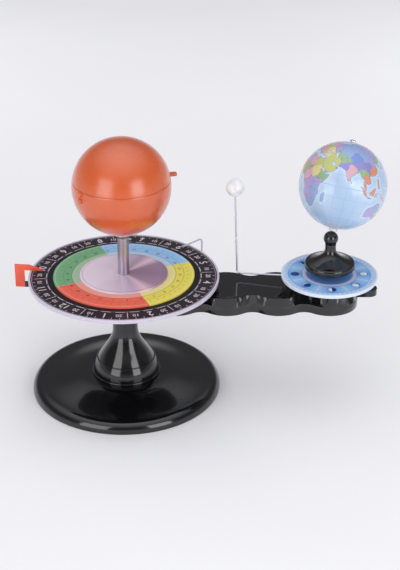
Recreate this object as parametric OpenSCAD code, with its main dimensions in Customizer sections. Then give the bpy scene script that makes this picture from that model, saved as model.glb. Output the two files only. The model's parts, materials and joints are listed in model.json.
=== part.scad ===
// Tellurion: a lit Sun on a column, with the Earth and the Moon on a geared arm that goes round it.
// Millimetres, +Z up. The origin is the column's axis on the table, and the arm lies along +X.

/* [Base] */
// Radius of the round base
base_r = 105.5; // [100:0.5:112]
// Height of the base rim
base_h = 12.5; // [11.5:0.5:16]
// Radius of the rounded top edge of the base
base_edge_r = 10.5; // [8:0.5:11]
// Rise of the base top from its rim to the pedestal seat
base_rise = 7; // [6:0.5:10]
// Radius of the flat seat under the pedestal
seat_r = 44; // [43:0.5:48]
// Wall of the base shell
base_wall = 2.6; // [2:0.1:3]
// Thickness of the bottom cover
cover_t = 2.4; // [2:0.1:3]
// Height of the bottom cover above the table
cover_lift = 1.2; // [1:0.1:2]
// Radius of the circle of cover screws
cover_screw_pcd_r = 86; // [82:0.5:89]
// Thickness of the iron weight
weight_t = 5.5; // [4:0.5:6]

/* [Battery] */
// Radius of a cell
cell_r = 5.25; // [5:0.05:5.35]
// Length of a cell
cell_len = 44.5; // [43:0.5:45.5]
// Distance between cells
cell_pitch = 11.2; // [10.8:0.1:11.6]
// Distance of the battery box from the column
battery_x = 44; // [42:0.5:46]
// Room at each end of a cell for its contact
contact_room = 3.4; // [3:0.2:4]
// Wall of the battery box
box_wall = 1.6; // [1.2:0.1:2]
// Thickness of the battery door
door_t = 1.2; // [1:0.1:1.6]

/* [Switch] */
// Width of the switch knob
knob_w = 6; // [5:0.5:8]
// Height of the switch knob
knob_h = 4; // [3:0.5:4.5]
// How far the knob stands out of the rim
knob_out = 0.8; // [0.6:0.1:2]
// Travel of the switch knob
knob_travel = 4; // [3:0.5:5]

/* [Pedestal] */
// Radius of the pedestal foot
foot_r = 38; // [37.5:0.5:42]
// Height of the pedestal foot
foot_h = 2.5; // [2:0.5:5]
// Radius at the bottom of the bell
bell_r = 36.5; // [34:0.5:36.5]
// Height over which the bell narrows to the neck
bell_h = 52; // [44:1:58]
// Share of the bell's height at which its bead runs round
bead_share = 0.3; // [0.2:0.01:0.5]
// Radius of the bead round the bell
bead_r = 0.8; // [0.5:0.1:1.2]
// Radius of the neck
neck_r = 14; // [12.5:0.5:16]
// Height of the top of the pedestal above the table
pedestal_top = 104; // [98:1:112]
// Wall of the pedestal
pedestal_wall = 2.6; // [2:0.1:3.2]

/* [Column] */
// Radius of the lamp tube
tube_r = 6.25; // [5.5:0.05:7]
// Wall of the lamp tube
tube_wall = 1; // [0.6:0.1:1.4]
// Thickness of the washer that the arm turns on
washer_t = 0.95; // [0.6:0.05:1.5]

/* [Season dial] */
// Radius of the season dial
dial_r = 104; // [97:1:110]
// Thickness of a dial plate
dial_t = 2; // [1.6:0.1:3]
// Height of the season dial plate above the arm
dial_lift = 9.6; // [8:0.1:12]
// Width of the pale rim of a dial
lip_w = 2.3; // [1.5:0.1:3.5]
// Height of the rim above the printed card
lip_h = 0.6; // [0.4:0.1:1.2]
// Thickness of a printed card
card_t = 0.4; // [0.3:0.1:0.8]
// Radius of the ring of season colours
season_r = 77; // [70:0.5:82]
// Thickness of the ring of season colours
season_t = 1.8; // [1:0.1:2.4]
// Radius of the satin centre plate
plate_r = 48; // [44:0.5:55]
// Thickness of the centre plate
plate_t = 1.6; // [1:0.1:2.4]
// Radius of the hub under the season dial
dial_hub_r = 16; // [13:0.5:20]

/* [Sun] */
// Radius of the Sun globe
sun_r = 53; // [48:1:58]
// Wall of the Sun globe
sun_wall = 1.8; // [1.4:0.1:2.4]
// Height of the Sun's centre above the season dial
sun_lift = 106; // [101:0.5:112]
// Height of the seam above the Sun's centre
seam_z = 8; // [5:0.5:11]
// Height of the lip inside the seam
sun_lip_h = 4; // [3:0.5:6]
// Length of the opening tab on the seam
tab_len = 5.8; // [4:0.2:8]
// Direction of the opening tab
tab_az = 11; // [0:1:40]
// Direction of the catch boss
catch_az = 219; // [200:1:240]
// Radius of the bulb glass
bulb_r = 7.5; // [6:0.5:9]

/* [Gears] */
// Module of the arm gears
gear_m = 1.4; // [1.3:0.05:1.5]
// Teeth of each arm gear
gear_n = 40; // [38:2:42]
// Thickness of the arm gears
gear_t = 5.4; // [4.5:0.1:5.6]
// Teeth of the Moon pinion
pinion_n = 9; // [9:1:10]
// Thickness of the Moon pinion
pinion_t = 4; // [3:0.1:4.2]
// Module of the Moon wheel and sleeve gear
moon_m = 1; // [0.96:0.01:1.04]
// Teeth of the Moon wheel
wheel_n = 39; // [37:1:40]
// Teeth of the Moon sleeve gear
sleeve_n = 14; // [14:1:16]
// Thickness of the Moon wheel
wheel_t = 2.6; // [2:0.1:2.8]
// Play between meshing teeth
backlash = 0.24; // [0.16:0.02:0.4]

/* [Arm] */
// Wall of the arm case
case_wall = 2.2; // [1.8:0.1:2.8]
// Thickness of the case floor
floor_t = 2.4; // [2:0.1:3]
// Thickness of the case roof
roof_t = 2.5; // [2:0.1:3]
// Room between gear teeth and the case
tooth_room = 0.8; // [0.6:0.1:1.5]
// Radius of the notches between the lobes
notch_r = 16; // [12:0.5:20]
// Reach of the push handle beyond the Earth's axis
handle_reach = 53; // [46:1:60]
// Width of the push handle
handle_w = 18; // [14:0.5:24]
// Thickness of the push handle
handle_t = 7; // [5:0.5:9]
// Radius of the idler pins
idler_pin_r = 2.5; // [2:0.05:3]
// Radius of the lay pin
lay_pin_r = 2; // [1.6:0.05:2.3]
// Thickness of the bridge plate that holds the phase dial's post
bridge_t = 2.6; // [2:0.1:3]

/* [Pointers] */
// Direction of the red date pointer
date_az = 175; // [160:1:200]
// Direction of the pale wire pointer
wire_az = 45; // [40:1:60]
// Width of the date pointer's upright
pointer_w = 10.5; // [8:0.5:13]
// Thickness of the date pointer
pointer_t = 1.8; // [1.2:0.1:2.4]
// How far the pointers stand out of the season dial
pointer_out = 16.5; // [13:0.5:20]
// How far the pointers reach in over the season dial
pointer_in = 14.5; // [10:0.5:20]
// Height of the date pointer's bars
pointer_bar = 6.5; // [5:0.5:8]
// Gap between a pointer and the top of the season dial's rim
pointer_gap = 1.4; // [1:0.1:2]
// Radius of the wire of the pale pointer and of the Moon
wire_r = 1; // [0.8:0.05:1.2]

/* [Phase dial] */
// Radius of the phase dial
phase_r = 52.5; // [48:0.5:56]
// Thickness of the phase dial plate
phase_t = 1.8; // [1.4:0.1:2.4]
// Radius of the hollow post that carries the phase dial
post_r = 4.4; // [4.2:0.05:4.5]

/* [Earth] */
// Radius of the Earth globe
globe_r = 47.5; // [44:0.5:50]
// Wall of the Earth globe
globe_wall = 1.6; // [1.2:0.1:2.2]
// Tilt of the Earth's axis
tilt = 23.5; // [15:0.5:30]
// Direction that the north pole leans to
tilt_az = 58; // [0:1:359]
// Distance from the axis collar's centre to the globe's centre
globe_lift = 58; // [57:0.5:62]
// Radius of the Earth's spindle
spindle_r = 2.75; // [2.5:0.05:2.85]
// Radius of the Earth's axis rod
rod_r = 1.75; // [1.4:0.05:2.2]
// Radius of the ball collar under the globe
collar_r = 8; // [7:0.25:9]
// Height of the ball collar's centre above the phase dial
collar_lift = 43; // [40:0.5:48]
// Radius of the flange of the Earth support
flange_r = 27.5; // [24:0.5:30]
// Height of the flange above the phase dial
flange_lift = 8; // [6:0.5:10]
// Thickness of the flange
flange_t = 3; // [2:0.1:4]
// Radius of the stem of the Earth support
stem_r = 7; // [6:0.1:7.5]

/* [Moon] */
// Radius of the Moon
moon_r = 10; // [8:0.5:12]
// Distance of the Moon's upright wire from the Earth support's axis
moon_orbit = 102; // [97:1:106]
// Direction of the Moon seen from the Earth
moon_az = 169; // [0:1:359]
// Height of the Moon's centre above the level part of its wire
moon_rise = 102; // [94:0.5:110]
// Radius of the Moon hub
moon_hub_r = 11; // [9:0.5:14]
// Height of the Moon hub
moon_hub_h = 10.3; // [8:0.1:12]
// Outward lean of the Moon's wire
wire_lean = 1.8; // [0:0.2:2.6]
// Radius of the bends in the wires
bend_r = 4; // [3:0.5:5]

/* [Fits] */
// Radial clearance of a turning fit
run_fit = 0.06; // [0.03:0.01:0.09]
// Gap between pieces that pass each other
gap = 0.3; // [0.2:0.05:0.4]
// Radius of a screw shank
screw_r = 1.4; // [1.2:0.1:1.6]
// Radius of a screw head
head_r = 2.7; // [2.4:0.1:3]
// Height of a screw head
head_h = 1.1; // [0.8:0.1:1.2]

/* [Hidden] */
$fn = 96;
cut = 1;
thin_gap = 0.1;

// Base heights
cover_top = cover_lift + cover_t;
seat_z = base_h + base_rise;
roof_under_seat = seat_z - base_wall;
cover_r = base_r - base_wall - 2 * gap;
cover_screw_angles = [45, 135, 225, 315];
base_steps = 14;
boss_r = screw_r + 2.6;
weight_in_r = 50;
weight_out_r = 80;
weight_half_angle = 65;

// Battery box
cell_count = 3;
box_x = cell_count * cell_pitch + 2 * gap;
box_y = cell_len + 2 * contact_room;
box_h = 9;
cover_screw_deep = 5.5;
cell_z = cover_top + gap + cell_r;
door_ledge = 2;
door_screw_x = box_x / 2 + box_wall + head_r + gap;
door_x = 2 * (door_screw_x + head_r + 0.8);
door_y = box_y;
contact_t = 0.5;
contact_w = 8;
contact_h = 7;

// Switch
switch_w = 14;
switch_h = 6;
switch_deep = 12.4;
switch_front = base_r - base_wall - 9;
switch_back = switch_front - switch_deep;
knob_z = cover_top + 3;

// Pedestal
bell_z = seat_z + foot_h;
bell_steps = 22;
pedestal_screw_r = 24;
pedestal_screw_angles = [30, 150, 270];
pedestal_boss_top = seat_z + 32;
foot_round = 1;

// Gear sizes
press_angle = 25;
flank_steps = 3;
pitch = gear_m * gear_n;
gear_r = pitch / 2;
tip_r = gear_r + 0.8 * gear_m;
pinion_r = gear_m * pinion_n / 2;
wheel_r = moon_m * wheel_n / 2;
sleeve_gear_r = moon_m * sleeve_n / 2;
earth_x = 4 * pitch;
lay_from_idler = gear_r + pinion_r;
lay_from_earth = wheel_r + sleeve_gear_r;
lay_dx = (pitch ^ 2 + lay_from_idler ^ 2 - lay_from_earth ^ 2) / (2 * pitch);
lay_y = sqrt(lay_from_idler ^ 2 - lay_dx ^ 2);
lay_x = 3 * pitch + lay_dx;

// Turn of each gear that puts it in mesh with the one before it
function mesh_phase(dir, phase, n1, n2) = dir + 180 - (0.5 - (dir - phase) * n1 / 360) * 360 / n2;
phase_1 = mesh_phase(0, 0, gear_n, gear_n);
phase_2 = mesh_phase(0, phase_1, gear_n, gear_n);
phase_3 = mesh_phase(0, phase_2, gear_n, gear_n);
phase_4 = mesh_phase(0, phase_3, gear_n, gear_n);
lay_phase = mesh_phase(atan2(lay_y, lay_dx), phase_3, gear_n, pinion_n);
sleeve_phase = mesh_phase(atan2(-lay_y, pitch - lay_dx), lay_phase, wheel_n, sleeve_n);

// Arm heights
arm_z = pedestal_top + washer_t + 0.05;
floor_z = arm_z + floor_t;
gear_z = floor_z + 1;
gear_top = gear_z + gear_t;
lay_head_t = 0.5;
bridge_z = gear_top + 1.4;
pinion_z = bridge_z;
pinion_top = pinion_z + pinion_t;
wheel_z = pinion_top + 0.8;
wheel_top = wheel_z + wheel_t;
roof_z = wheel_top + 0.9;
arm_top = roof_z + roof_t;
split_z = bridge_z - 0.2;

// Arm outline
lobe_r = tip_r + tooth_room + case_wall;
notch_y = sqrt((lobe_r + notch_r) ^ 2 - (pitch / 2) ^ 2);
notch_bite = 0.05;
pod_r = wheel_r + 0.8 * moon_m + tooth_room + case_wall;
case_screw_y = notch_y - notch_r - case_wall - screw_r - 0.9;
case_screws = [[0.5, 1], [0.5, -1], [1.5, 1], [1.5, -1], [2.5, 1], [2.5, -1], [3.5, -1]];
case_boss_r = screw_r + 1.5;
hub_hole_r = tube_r + 2.75;
bush_flange_r = hub_hole_r + 2;
bush_flange_t = 0.5;
idler_hub_r = idler_pin_r + 2.2;
web_hole_r = 5.5;
web_hole_at = 16;
bridge_rebate = 1;
bridge_side = 9;

// Season dial heights
dial_z = arm_top + dial_lift;
dial_face = dial_z + dial_t + card_t;
dial_rim_top = dial_face + lip_h;
dial_skirt = 1;
hub_z = arm_top + bush_flange_t + gap;

// Sun heights
season_face = dial_face + season_t;
sun_z = dial_face + sun_lift;
socket_flange_r = 11;
socket_flange_t = 2.6;
socket_r = 8.6;
socket_h = 14;
socket_z = sun_z - sqrt((sun_r - sun_wall) ^ 2 - socket_flange_r ^ 2) + thin_gap;
socket_top = socket_z + socket_flange_t + socket_h;
bulb_base_r = 5;
bulb_deep = 9;
bulb_neck_h = 2;
tube_z = roof_under_seat - 3;
tube_top = socket_z + socket_flange_t;
sun_collar_r = 9.6;
sun_collar_h = 6;
sun_lip_r = sqrt((sun_r - sun_wall) ^ 2 - (seam_z + sun_lip_h) ^ 2) - gap;
sun_lip_t = 1.4;
sun_lip_down = 5;
tab_w = 6;
tab_t = 2.2;
catch_r = 2.4;
catch_out = 2.6;

// Phase dial and Moon hub heights
sleeve_bore_r = post_r + run_fit;
sleeve_r = sleeve_gear_r - moon_m - 0.1;
moon_hub_z = arm_top + gap + 0.1;
moon_hub_top = moon_hub_z + moon_hub_h;
phase_boss_r = 8;
phase_boss_t = 0.9;
phase_z = moon_hub_top + 0.2 + phase_boss_t;
phase_face = phase_z + phase_t + card_t;
moon_wire_z = moon_hub_top - wire_r - 0.8;

// Earth support heights
collar_z = phase_face + collar_lift;
stem_z = phase_face + gap;
flange_z = phase_face + flange_lift;
support_neck_r = 6;
support_wide = 0.66;
support_top = collar_z - collar_r * 0.78;
support_steps = 12;
spindle_z = arm_z + 1;
spindle_top = support_top - 4;
rod_deep = 4;
cap_r = 3.4;
cap_t = 2.4;
axle_boss_r = 4.6;
axle_boss_in = 8;

// Pointer heights
lug_len = 10.5;
lug_w = 10;
lug_t = 5;
lug_in = 2;
pointer_leg_r = dial_r + pointer_out;
pointer_tip_r = dial_r - pointer_in;
pointer_low = arm_top - pointer_bar;
pointer_high = dial_rim_top + pointer_gap;
pointer_taper = 15;
pointer_point = 1.2;
side_lug_w = 5;
side_lug_h = 8;
pointer_screws_at = [lobe_r + 3.5, lobe_r + 8.5];
pointer_screw_z = arm_top - pointer_bar / 2;
wire_bar_z = pointer_high + 2;

// Lamp leads
lead_r = 0.8;
lead_x = 1.3;
lead_z = cover_top + 2.2;
lead_jog = 7;
lead_side_x = 40;
lead_side_y = switch_front - 8;

// Shared shapes

// A round ring standing on z
module ring(r_out, r_in, z, h) {
    difference() {
        translate([0, 0, z]) cylinder(r = r_out, h = h);
        translate([0, 0, z - cut]) cylinder(r = r_in, h = h + 2 * cut);
    }
}

// A round rod standing on z
module rod(r, z, h) {
    translate([0, 0, z]) cylinder(r = r, h = h);
}

// A block centred on x and y, standing on z
module block(x, y, z, h) {
    translate([-x / 2, -y / 2, z]) cube([x, y, h]);
}

// A screw with its head below, standing on z
module screw_up(z, length) {
    rod(head_r, z, head_h);
    rod(screw_r, z + head_h, length);
}

// Angle of half a tooth at a radius, from the tooth's middle
function involute(angle) = tan(angle) * 180 / PI - angle;
function tooth_half(r, pitch_r, base_circle, n) =
    90 / n - backlash / (4 * pitch_r) * 180 / PI + involute(press_angle)
    - involute(acos(min(1, base_circle / r)));
function on_circle(r, a) = [r * cos(a), r * sin(a)];

// One gear's outline: involute flanks, with radial feet where the root is inside the base circle
module gear_outline(n, m) {
    pitch_r = m * n / 2;
    base_circle = pitch_r * cos(press_angle);
    root_r = pitch_r - m;
    top_r = pitch_r + 0.8 * m;
    low_r = max(root_r, base_circle);
    feet = root_r < base_circle ? [root_r] : [];
    radii = concat(feet, [for (i = [0:flank_steps]) low_r + (top_r - low_r) * i / flank_steps]);
    last = len(radii) - 1;
    polygon([
        for (k = [0:n - 1])
            for (j = [0:2 * last + 1])
                let (r = j <= last ? radii[j] : radii[2 * last + 1 - j])
                    let (half = tooth_half(max(r, base_circle), pitch_r, base_circle, n))
                        on_circle(r, k * 360 / n + (j <= last ? -half : half))
    ]);
}

module gear(n, m, z, h) {
    translate([0, 0, z]) linear_extrude(h) gear_outline(n, m);
}

// A wire that runs out along +X at z_low, bends up, and rises to z_top
module bent_wire(r_from, r_to, z_low, z_top) {
    translate([r_from, 0, z_low]) rotate([0, 90, 0]) cylinder(r = wire_r, h = r_to - bend_r - r_from);
    translate([r_to - bend_r, 0, z_low + bend_r]) rotate([90, 0, 0]) rotate([0, 0, -90])
        rotate_extrude(angle = 90) translate([bend_r, 0]) circle(r = wire_r);
    translate([r_to, 0, z_low + bend_r]) cylinder(r = wire_r, h = z_top - z_low - bend_r);
}

// Base

// The base's section: an upright rim with a round top edge, and a top that swells gently to the seat
module base_profile(inset) {
    r = base_r - inset;
    h = base_h - inset;
    e = base_edge_r - inset;
    square([r, h - e]);
    square([r - e, h]);
    translate([r - e, h - e]) intersection() {
        circle(r = e);
        square(e);
    }
    slope = [for (i = [0:base_steps]) let (t = i / base_steps)
        [r - e + (seat_r - r + e) * t, h + base_rise * (1 - cos(180 * t)) / 2]];
    polygon(concat([[0, h]], slope, [[0, h + base_rise]]));
}

module base_shell() {
    color("#17171b") difference() {
        union() {
            difference() {
                rotate_extrude() base_profile(0);
                rotate_extrude() base_profile(base_wall);
                rod(base_r - base_wall, -cut, 2 * cut);
            }
            for (a = cover_screw_angles)
                rotate([0, 0, a]) translate([cover_screw_pcd_r, 0, 0])
                    rod(boss_r, cover_top, base_h - 0.6 - cover_top);
        }
        for (a = cover_screw_angles)
            rotate([0, 0, a]) translate([cover_screw_pcd_r, 0, 0]) rod(screw_r, cover_top - cut, cover_screw_deep + cut);
        for (a = pedestal_screw_angles)
            rotate([0, 0, a]) translate([pedestal_screw_r, 0, 0])
                rod(screw_r + gap, roof_under_seat - cut, base_wall + 2 * cut);
        rod(tube_r + gap, roof_under_seat - cut, base_wall + 2 * cut);
        translate([0, base_r, 0])
            block(knob_w + knob_travel + 2 * gap, 8 * base_wall, knob_z - knob_h / 2 - gap, knob_h + 2 * gap);
    }
}

module at_battery() {
    translate([-battery_x, 0, 0]) children();
}

module base_cover() {
    color("#202024") difference() {
        union() {
            rod(cover_r, cover_lift, cover_t);
            at_battery() difference() {
                block(box_x + 2 * box_wall, box_y + 2 * box_wall, cover_top, box_h);
                block(box_x, box_y, cover_top - cut, box_h + 2 * cut);
            }
            for (s = [-1, 1])
                at_battery() translate([s * door_screw_x, 0, 0]) rod(screw_r + 1.4, cover_top, 5);
        }
        at_battery() block(box_x - 2 * door_ledge, box_y - 2 * door_ledge, cover_lift - cut, cover_t + 2 * cut);
        at_battery() block(door_x + 2 * thin_gap, door_y + 2 * thin_gap, cover_lift - cut, door_t + cut);
        for (s = [-1, 1])
            at_battery() translate([s * door_screw_x, 0, 0]) rod(screw_r, cover_lift, cover_t + 4);
        for (a = cover_screw_angles)
            rotate([0, 0, a]) translate([cover_screw_pcd_r, 0, 0])
                rod(screw_r + gap, cover_lift - cut, cover_t + 2 * cut);
    }
}

module cover_screws() {
    color("silver") {
        for (a = cover_screw_angles)
            rotate([0, 0, a]) translate([cover_screw_pcd_r, 0, 0]) screw_up(cover_lift - head_h, cover_t + cover_screw_deep - 1);
        for (s = [-1, 1])
            at_battery() translate([s * door_screw_x, 0, 0]) screw_up(cover_lift - head_h, cover_t + 3);
    }
}

module battery_door() {
    color("#26262b") at_battery() difference() {
        union() {
            block(door_x, door_y, cover_lift, door_t);
            for (s = [-1, 1])
                translate([0, s * box_y / 4, 0])
                    block(box_x - 2 * door_ledge - 2 * gap, 2, cover_lift + door_t, cover_t - door_t);
        }
        for (s = [-1, 1])
            translate([s * door_screw_x, 0, 0]) rod(screw_r + thin_gap, cover_lift - cut, door_t + 2 * cut);
    }
}

function cell_x(i) = (i - (cell_count - 1) / 2) * cell_pitch;

module battery_cells() {
    nub_r = 2.6;
    nub_h = 1.2;
    color("#8b8f98") at_battery() for (i = [0:cell_count - 1])
        translate([cell_x(i), 0, cell_z]) rotate([i % 2 == 0 ? 90 : -90, 0, 0]) {
            translate([0, 0, -cell_len / 2]) cylinder(r = cell_r, h = cell_len - nub_h);
            translate([0, 0, cell_len / 2 - nub_h]) cylinder(r = nub_r, h = nub_h);
        }
}

// Leaf contacts: a plate against the box wall and a bowed tongue that reaches the cell
module battery_contacts() {
    bow_r = (contact_room - contact_t - thin_gap) / 2;
    color("#c8b070") at_battery() for (i = [0:cell_count - 1]) for (s = [-1, 1])
        translate([cell_x(i), s * box_y / 2, cell_z - contact_h / 2]) {
            translate([-contact_w / 2, s > 0 ? -contact_t : 0, 0]) cube([contact_w, contact_t, contact_h]);
            translate([0, -s * (contact_t + bow_r), contact_h / 2]) rotate([0, 90, 0])
                translate([0, 0, -contact_w / 4]) difference() {
                    cylinder(r = bow_r, h = contact_w / 2);
                    translate([0, 0, -cut]) cylinder(r = bow_r - contact_t, h = contact_w / 2 + 2 * cut);
                }
        }
}

module base_weight() {
    color("#3a3a3c") rotate([0, 0, -weight_half_angle]) rotate_extrude(angle = 2 * weight_half_angle)
        translate([weight_in_r, cover_top]) square([weight_out_r - weight_in_r, weight_t]);
}

module switch_body() {
    color("#2b2b30") translate([0, (switch_front + switch_back) / 2, 0])
        block(switch_w, switch_deep, cover_top, switch_h);
}

module switch_knob() {
    rib_w = 0.7;
    rib_out = 0.4;
    from_y = switch_front + gap;
    face_y = base_r + knob_out;
    color("#b9b9bd") translate([-knob_travel / 2, 0, knob_z - knob_h / 2]) {
        translate([-knob_w / 2, from_y, 0]) cube([knob_w, face_y - from_y, knob_h]);
        for (i = [-1:1])
            translate([i * knob_w / 3 - rib_w / 2, face_y, 0.5]) cube([rib_w, rib_out, knob_h - 1]);
    }
}

// Pedestal

// Radius of the bell at a share of its height, from foot to neck
function bell_at(t) = neck_r + (bell_r - neck_r) * (1 + cos(180 * t)) / 2;

module pedestal() {
    hollow_share = 0.8;
    foot_edge = [for (a = [0:15:90])
        [foot_r - foot_round * (1 - cos(a)), bell_z - foot_round * (1 - sin(a))]];
    outer = [for (i = [0:bell_steps]) [bell_at(i / bell_steps), bell_z + bell_h * i / bell_steps]];
    hollow_n = floor(bell_steps * hollow_share);
    inner = [for (i = [0:hollow_n]) [outer[i][0] - pedestal_wall, outer[i][1]]];
    hollow_top = inner[hollow_n][1];
    color("#121216") difference() {
        union() {
            difference() {
                rotate_extrude() polygon(concat(
                    [[0, seat_z], [foot_r, seat_z]], foot_edge, outer,
                    [[neck_r, pedestal_top], [0, pedestal_top]]
                ));
                rotate_extrude() polygon(concat(
                    [[0, seat_z - cut], [bell_r - pedestal_wall, seat_z - cut]], inner, [[0, hollow_top]]
                ));
            }
            rotate_extrude() translate([bell_at(bead_share), bell_z + bell_h * bead_share]) circle(bead_r);
            intersection() {
                for (a = pedestal_screw_angles)
                    rotate([0, 0, a]) translate([pedestal_screw_r, 0, 0])
                        rod(boss_r, seat_z, pedestal_boss_top - seat_z);
                rotate_extrude() polygon(concat([[0, seat_z], [bell_r, seat_z]], outer, [[0, bell_z + bell_h]]));
            }
            rod(tube_r + pedestal_wall, bell_z, pedestal_top - bell_z);
        }
        rod(tube_r, seat_z - cut, pedestal_top - seat_z + 2 * cut);
        for (a = pedestal_screw_angles)
            rotate([0, 0, a]) translate([pedestal_screw_r, 0, 0]) rod(screw_r, seat_z - cut, 12 + cut);
    }
}

module pedestal_screws() {
    color("silver") for (a = pedestal_screw_angles)
        rotate([0, 0, a]) translate([pedestal_screw_r, 0, 0])
            screw_up(roof_under_seat - head_h, base_wall + 10);
}

// Column and season dial

module lamp_tube() {
    color("#a9a7b2") ring(tube_r, tube_r - tube_wall, tube_z, tube_top - tube_z);
}

module lamp_leads() {
    color("#b02a20") {
        for (s = [-1, 1]) translate([s * lead_x, 0, 0]) rod(lead_r, lead_z, socket_z - lead_z);
        for (s = [-1, 1]) translate([s * lead_x, 0, lead_z]) sphere(r = lead_r);
        translate([lead_x, 0, lead_z]) rotate([-90, 0, 0]) cylinder(r = lead_r, h = switch_back);
        translate([-lead_x, 0, lead_z]) rotate([90, 0, 0]) cylinder(r = lead_r, h = lead_jog);
        translate([-lead_x, -lead_jog, lead_z]) {
            sphere(r = lead_r);
            rotate([0, -90, 0]) cylinder(r = lead_r, h = battery_x - box_x / 2 - box_wall - lead_x);
        }
        translate([-lead_side_x, lead_side_y, lead_z]) {
            sphere(r = lead_r);
            rotate([0, 90, 0]) cylinder(r = lead_r, h = lead_side_x - switch_w / 2);
            rotate([90, 0, 0]) cylinder(r = lead_r, h = lead_side_y - box_y / 2 - box_wall);
        }
    }
}

module thrust_washer() {
    color("#d8d8d4") ring(neck_r - 1, tube_r, pedestal_top, washer_t);
}

module centre_gear() {
    color("#d9d4c4") difference() {
        union() {
            gear(gear_n, gear_m, gear_z, gear_t);
            rod(hub_hole_r, gear_z, gear_t + 4);
        }
        rod(tube_r, gear_z - cut, gear_t + 4 + 2 * cut);
        web_holes();
    }
}

module dial_hub() {
    color("#1b1b1f") difference() {
        union() {
            rod(dial_hub_r, dial_z - 1.6, 1.6);
            rod(hub_hole_r + 1.5, hub_z, dial_z - hub_z);
        }
        rod(tube_r, hub_z - cut, dial_z - hub_z + 2 * cut);
    }
}

// A dial plate with a raised rim that holds its card
module dial_plate(r, z, t, skirt) {
    ring(r, r - lip_w, z - skirt, skirt + t + card_t + lip_h);
    rod(r - lip_w / 2, z, t);
}

module season_dial() {
    color("#dcdce2") difference() {
        dial_plate(dial_r, dial_z, dial_t, dial_skirt);
        rod(tube_r, dial_z - 2 * cut, dial_t + 4 * cut);
    }
}

module season_ring() {
    color("#8fb3dc") ring(season_r, tube_r + thin_gap, dial_face, season_t);
}

module season_card() {
    color("#3a3d46") ring(dial_r - lip_w, tube_r + gap, dial_z + dial_t, card_t);
}

module centre_plate() {
    color("#cfcbd8") ring(plate_r, tube_r + thin_gap, season_face, plate_t);
}

// Sun

module sun_collar() {
    color("#c9c9d0") difference() {
        union() {
            rod(sun_collar_r, sun_z - sun_r - sun_collar_h / 2, sun_collar_h / 2 + 1.2);
            rod(sun_collar_r - 1.8, sun_z - sun_r - sun_collar_h, sun_collar_h);
        }
        translate([0, 0, sun_z]) sphere(r = sun_r);
        rod(tube_r, sun_z - sun_r - sun_collar_h - cut, sun_collar_h + 4 * cut);
    }
}

module lamp_socket() {
    color("#e4e2da") difference() {
        union() {
            rod(socket_flange_r, socket_z, socket_flange_t);
            rod(socket_r, socket_z, socket_flange_t + socket_h);
        }
        rod(tube_r, socket_z - cut, socket_flange_t + cut);
        rod(bulb_base_r, socket_top - bulb_deep, bulb_deep + cut);
    }
}

module bulb_base() {
    color("#c9a85c") rod(bulb_base_r, socket_top - bulb_deep, bulb_deep + bulb_neck_h);
}

module bulb_glass() {
    neck = bulb_base_r - 0.4;
    color("#f4efdc") {
        translate([0, 0, socket_top + bulb_neck_h + sqrt(bulb_r ^ 2 - neck ^ 2)]) difference() {
            sphere(r = bulb_r);
            rod(bulb_r, -2 * bulb_r - sqrt(bulb_r ^ 2 - neck ^ 2), 2 * bulb_r);
        }
    }
}

module sun_ball_shell() {
    difference() {
        sphere(r = sun_r);
        sphere(r = sun_r - sun_wall);
    }
}

module sun_lower_shell() {
    color("#e8501e") translate([0, 0, sun_z]) difference() {
        union() {
            intersection() {
                sun_ball_shell();
                rod(sun_r + cut, -sun_r - cut, sun_r + cut + seam_z);
            }
            ring(sun_lip_r, sun_lip_r - sun_lip_t, seam_z - sun_lip_down, sun_lip_down + sun_lip_h);
            intersection() {
                ring(sun_r, sun_lip_r - sun_lip_t, seam_z - sun_lip_down, sun_lip_down / 2);
                sphere(r = sun_r - sun_wall / 2);
            }
            difference() {
                rotate([0, 0, catch_az]) translate([0, 0, seam_z - catch_r - 1]) rotate([0, 90, 0])
                    cylinder(r = catch_r, h = sun_r + catch_out);
                sphere(r = sun_r - sun_wall / 2);
            }
        }
        rod(tube_r + thin_gap, -sun_r - cut, sun_r);
    }
}

module sun_upper_shell() {
    color("#ee5a22") translate([0, 0, sun_z]) {
        intersection() {
            sun_ball_shell();
            rod(sun_r + cut, seam_z + thin_gap, sun_r);
        }
        difference() {
            rotate([0, 0, tab_az]) translate([0, -tab_w / 2, seam_z + thin_gap])
                cube([sun_r + tab_len, tab_w, tab_t]);
            sphere(r = sun_r - sun_wall / 2);
        }
    }
}

// Arm

// The arm's outline from above: five lobes, with rounded notches between them, and the lay gears' pod
module arm_outline(inset) {
    for (k = [0:4]) translate([k * pitch, 0]) circle(r = lobe_r - inset);
    for (k = [0:3]) translate([k * pitch, 0]) difference() {
        polygon([[0, 0], [pitch / 2, notch_y], [pitch, 0], [pitch / 2, -notch_y]]);
        for (s = [-1, 1]) translate([pitch / 2, s * notch_y]) circle(r = notch_r + inset + notch_bite);
    }
    translate([lay_x, lay_y]) circle(r = pod_r - inset);
}

module at_case_screws() {
    for (p = case_screws) translate([p[0] * pitch, p[1] * case_screw_y, 0]) children();
}

module at_idlers() {
    for (k = [1:3]) translate([k * pitch, 0, 0]) children();
}

// A lug on the hub lobe that holds the wire pointer
module wire_lug() {
    rotate([0, 0, wire_az]) translate([lobe_r - lug_in, -lug_w / 2, arm_z])
        cube([lug_in + lug_len, lug_w, lug_t]);
}

// A lug on the hub lobe that the date pointer is screwed to
module date_lug() {
    rotate([0, 0, date_az]) translate([lobe_r - lug_in, pointer_t / 2, arm_top - side_lug_h])
        cube([lug_in + lug_len + 2, side_lug_w, side_lug_h]);
}

module at_pointer_screws() {
    rotate([0, 0, date_az]) for (r = pointer_screws_at)
        translate([r, 0, pointer_screw_z]) rotate([-90, 0, 0]) children();
}

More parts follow.
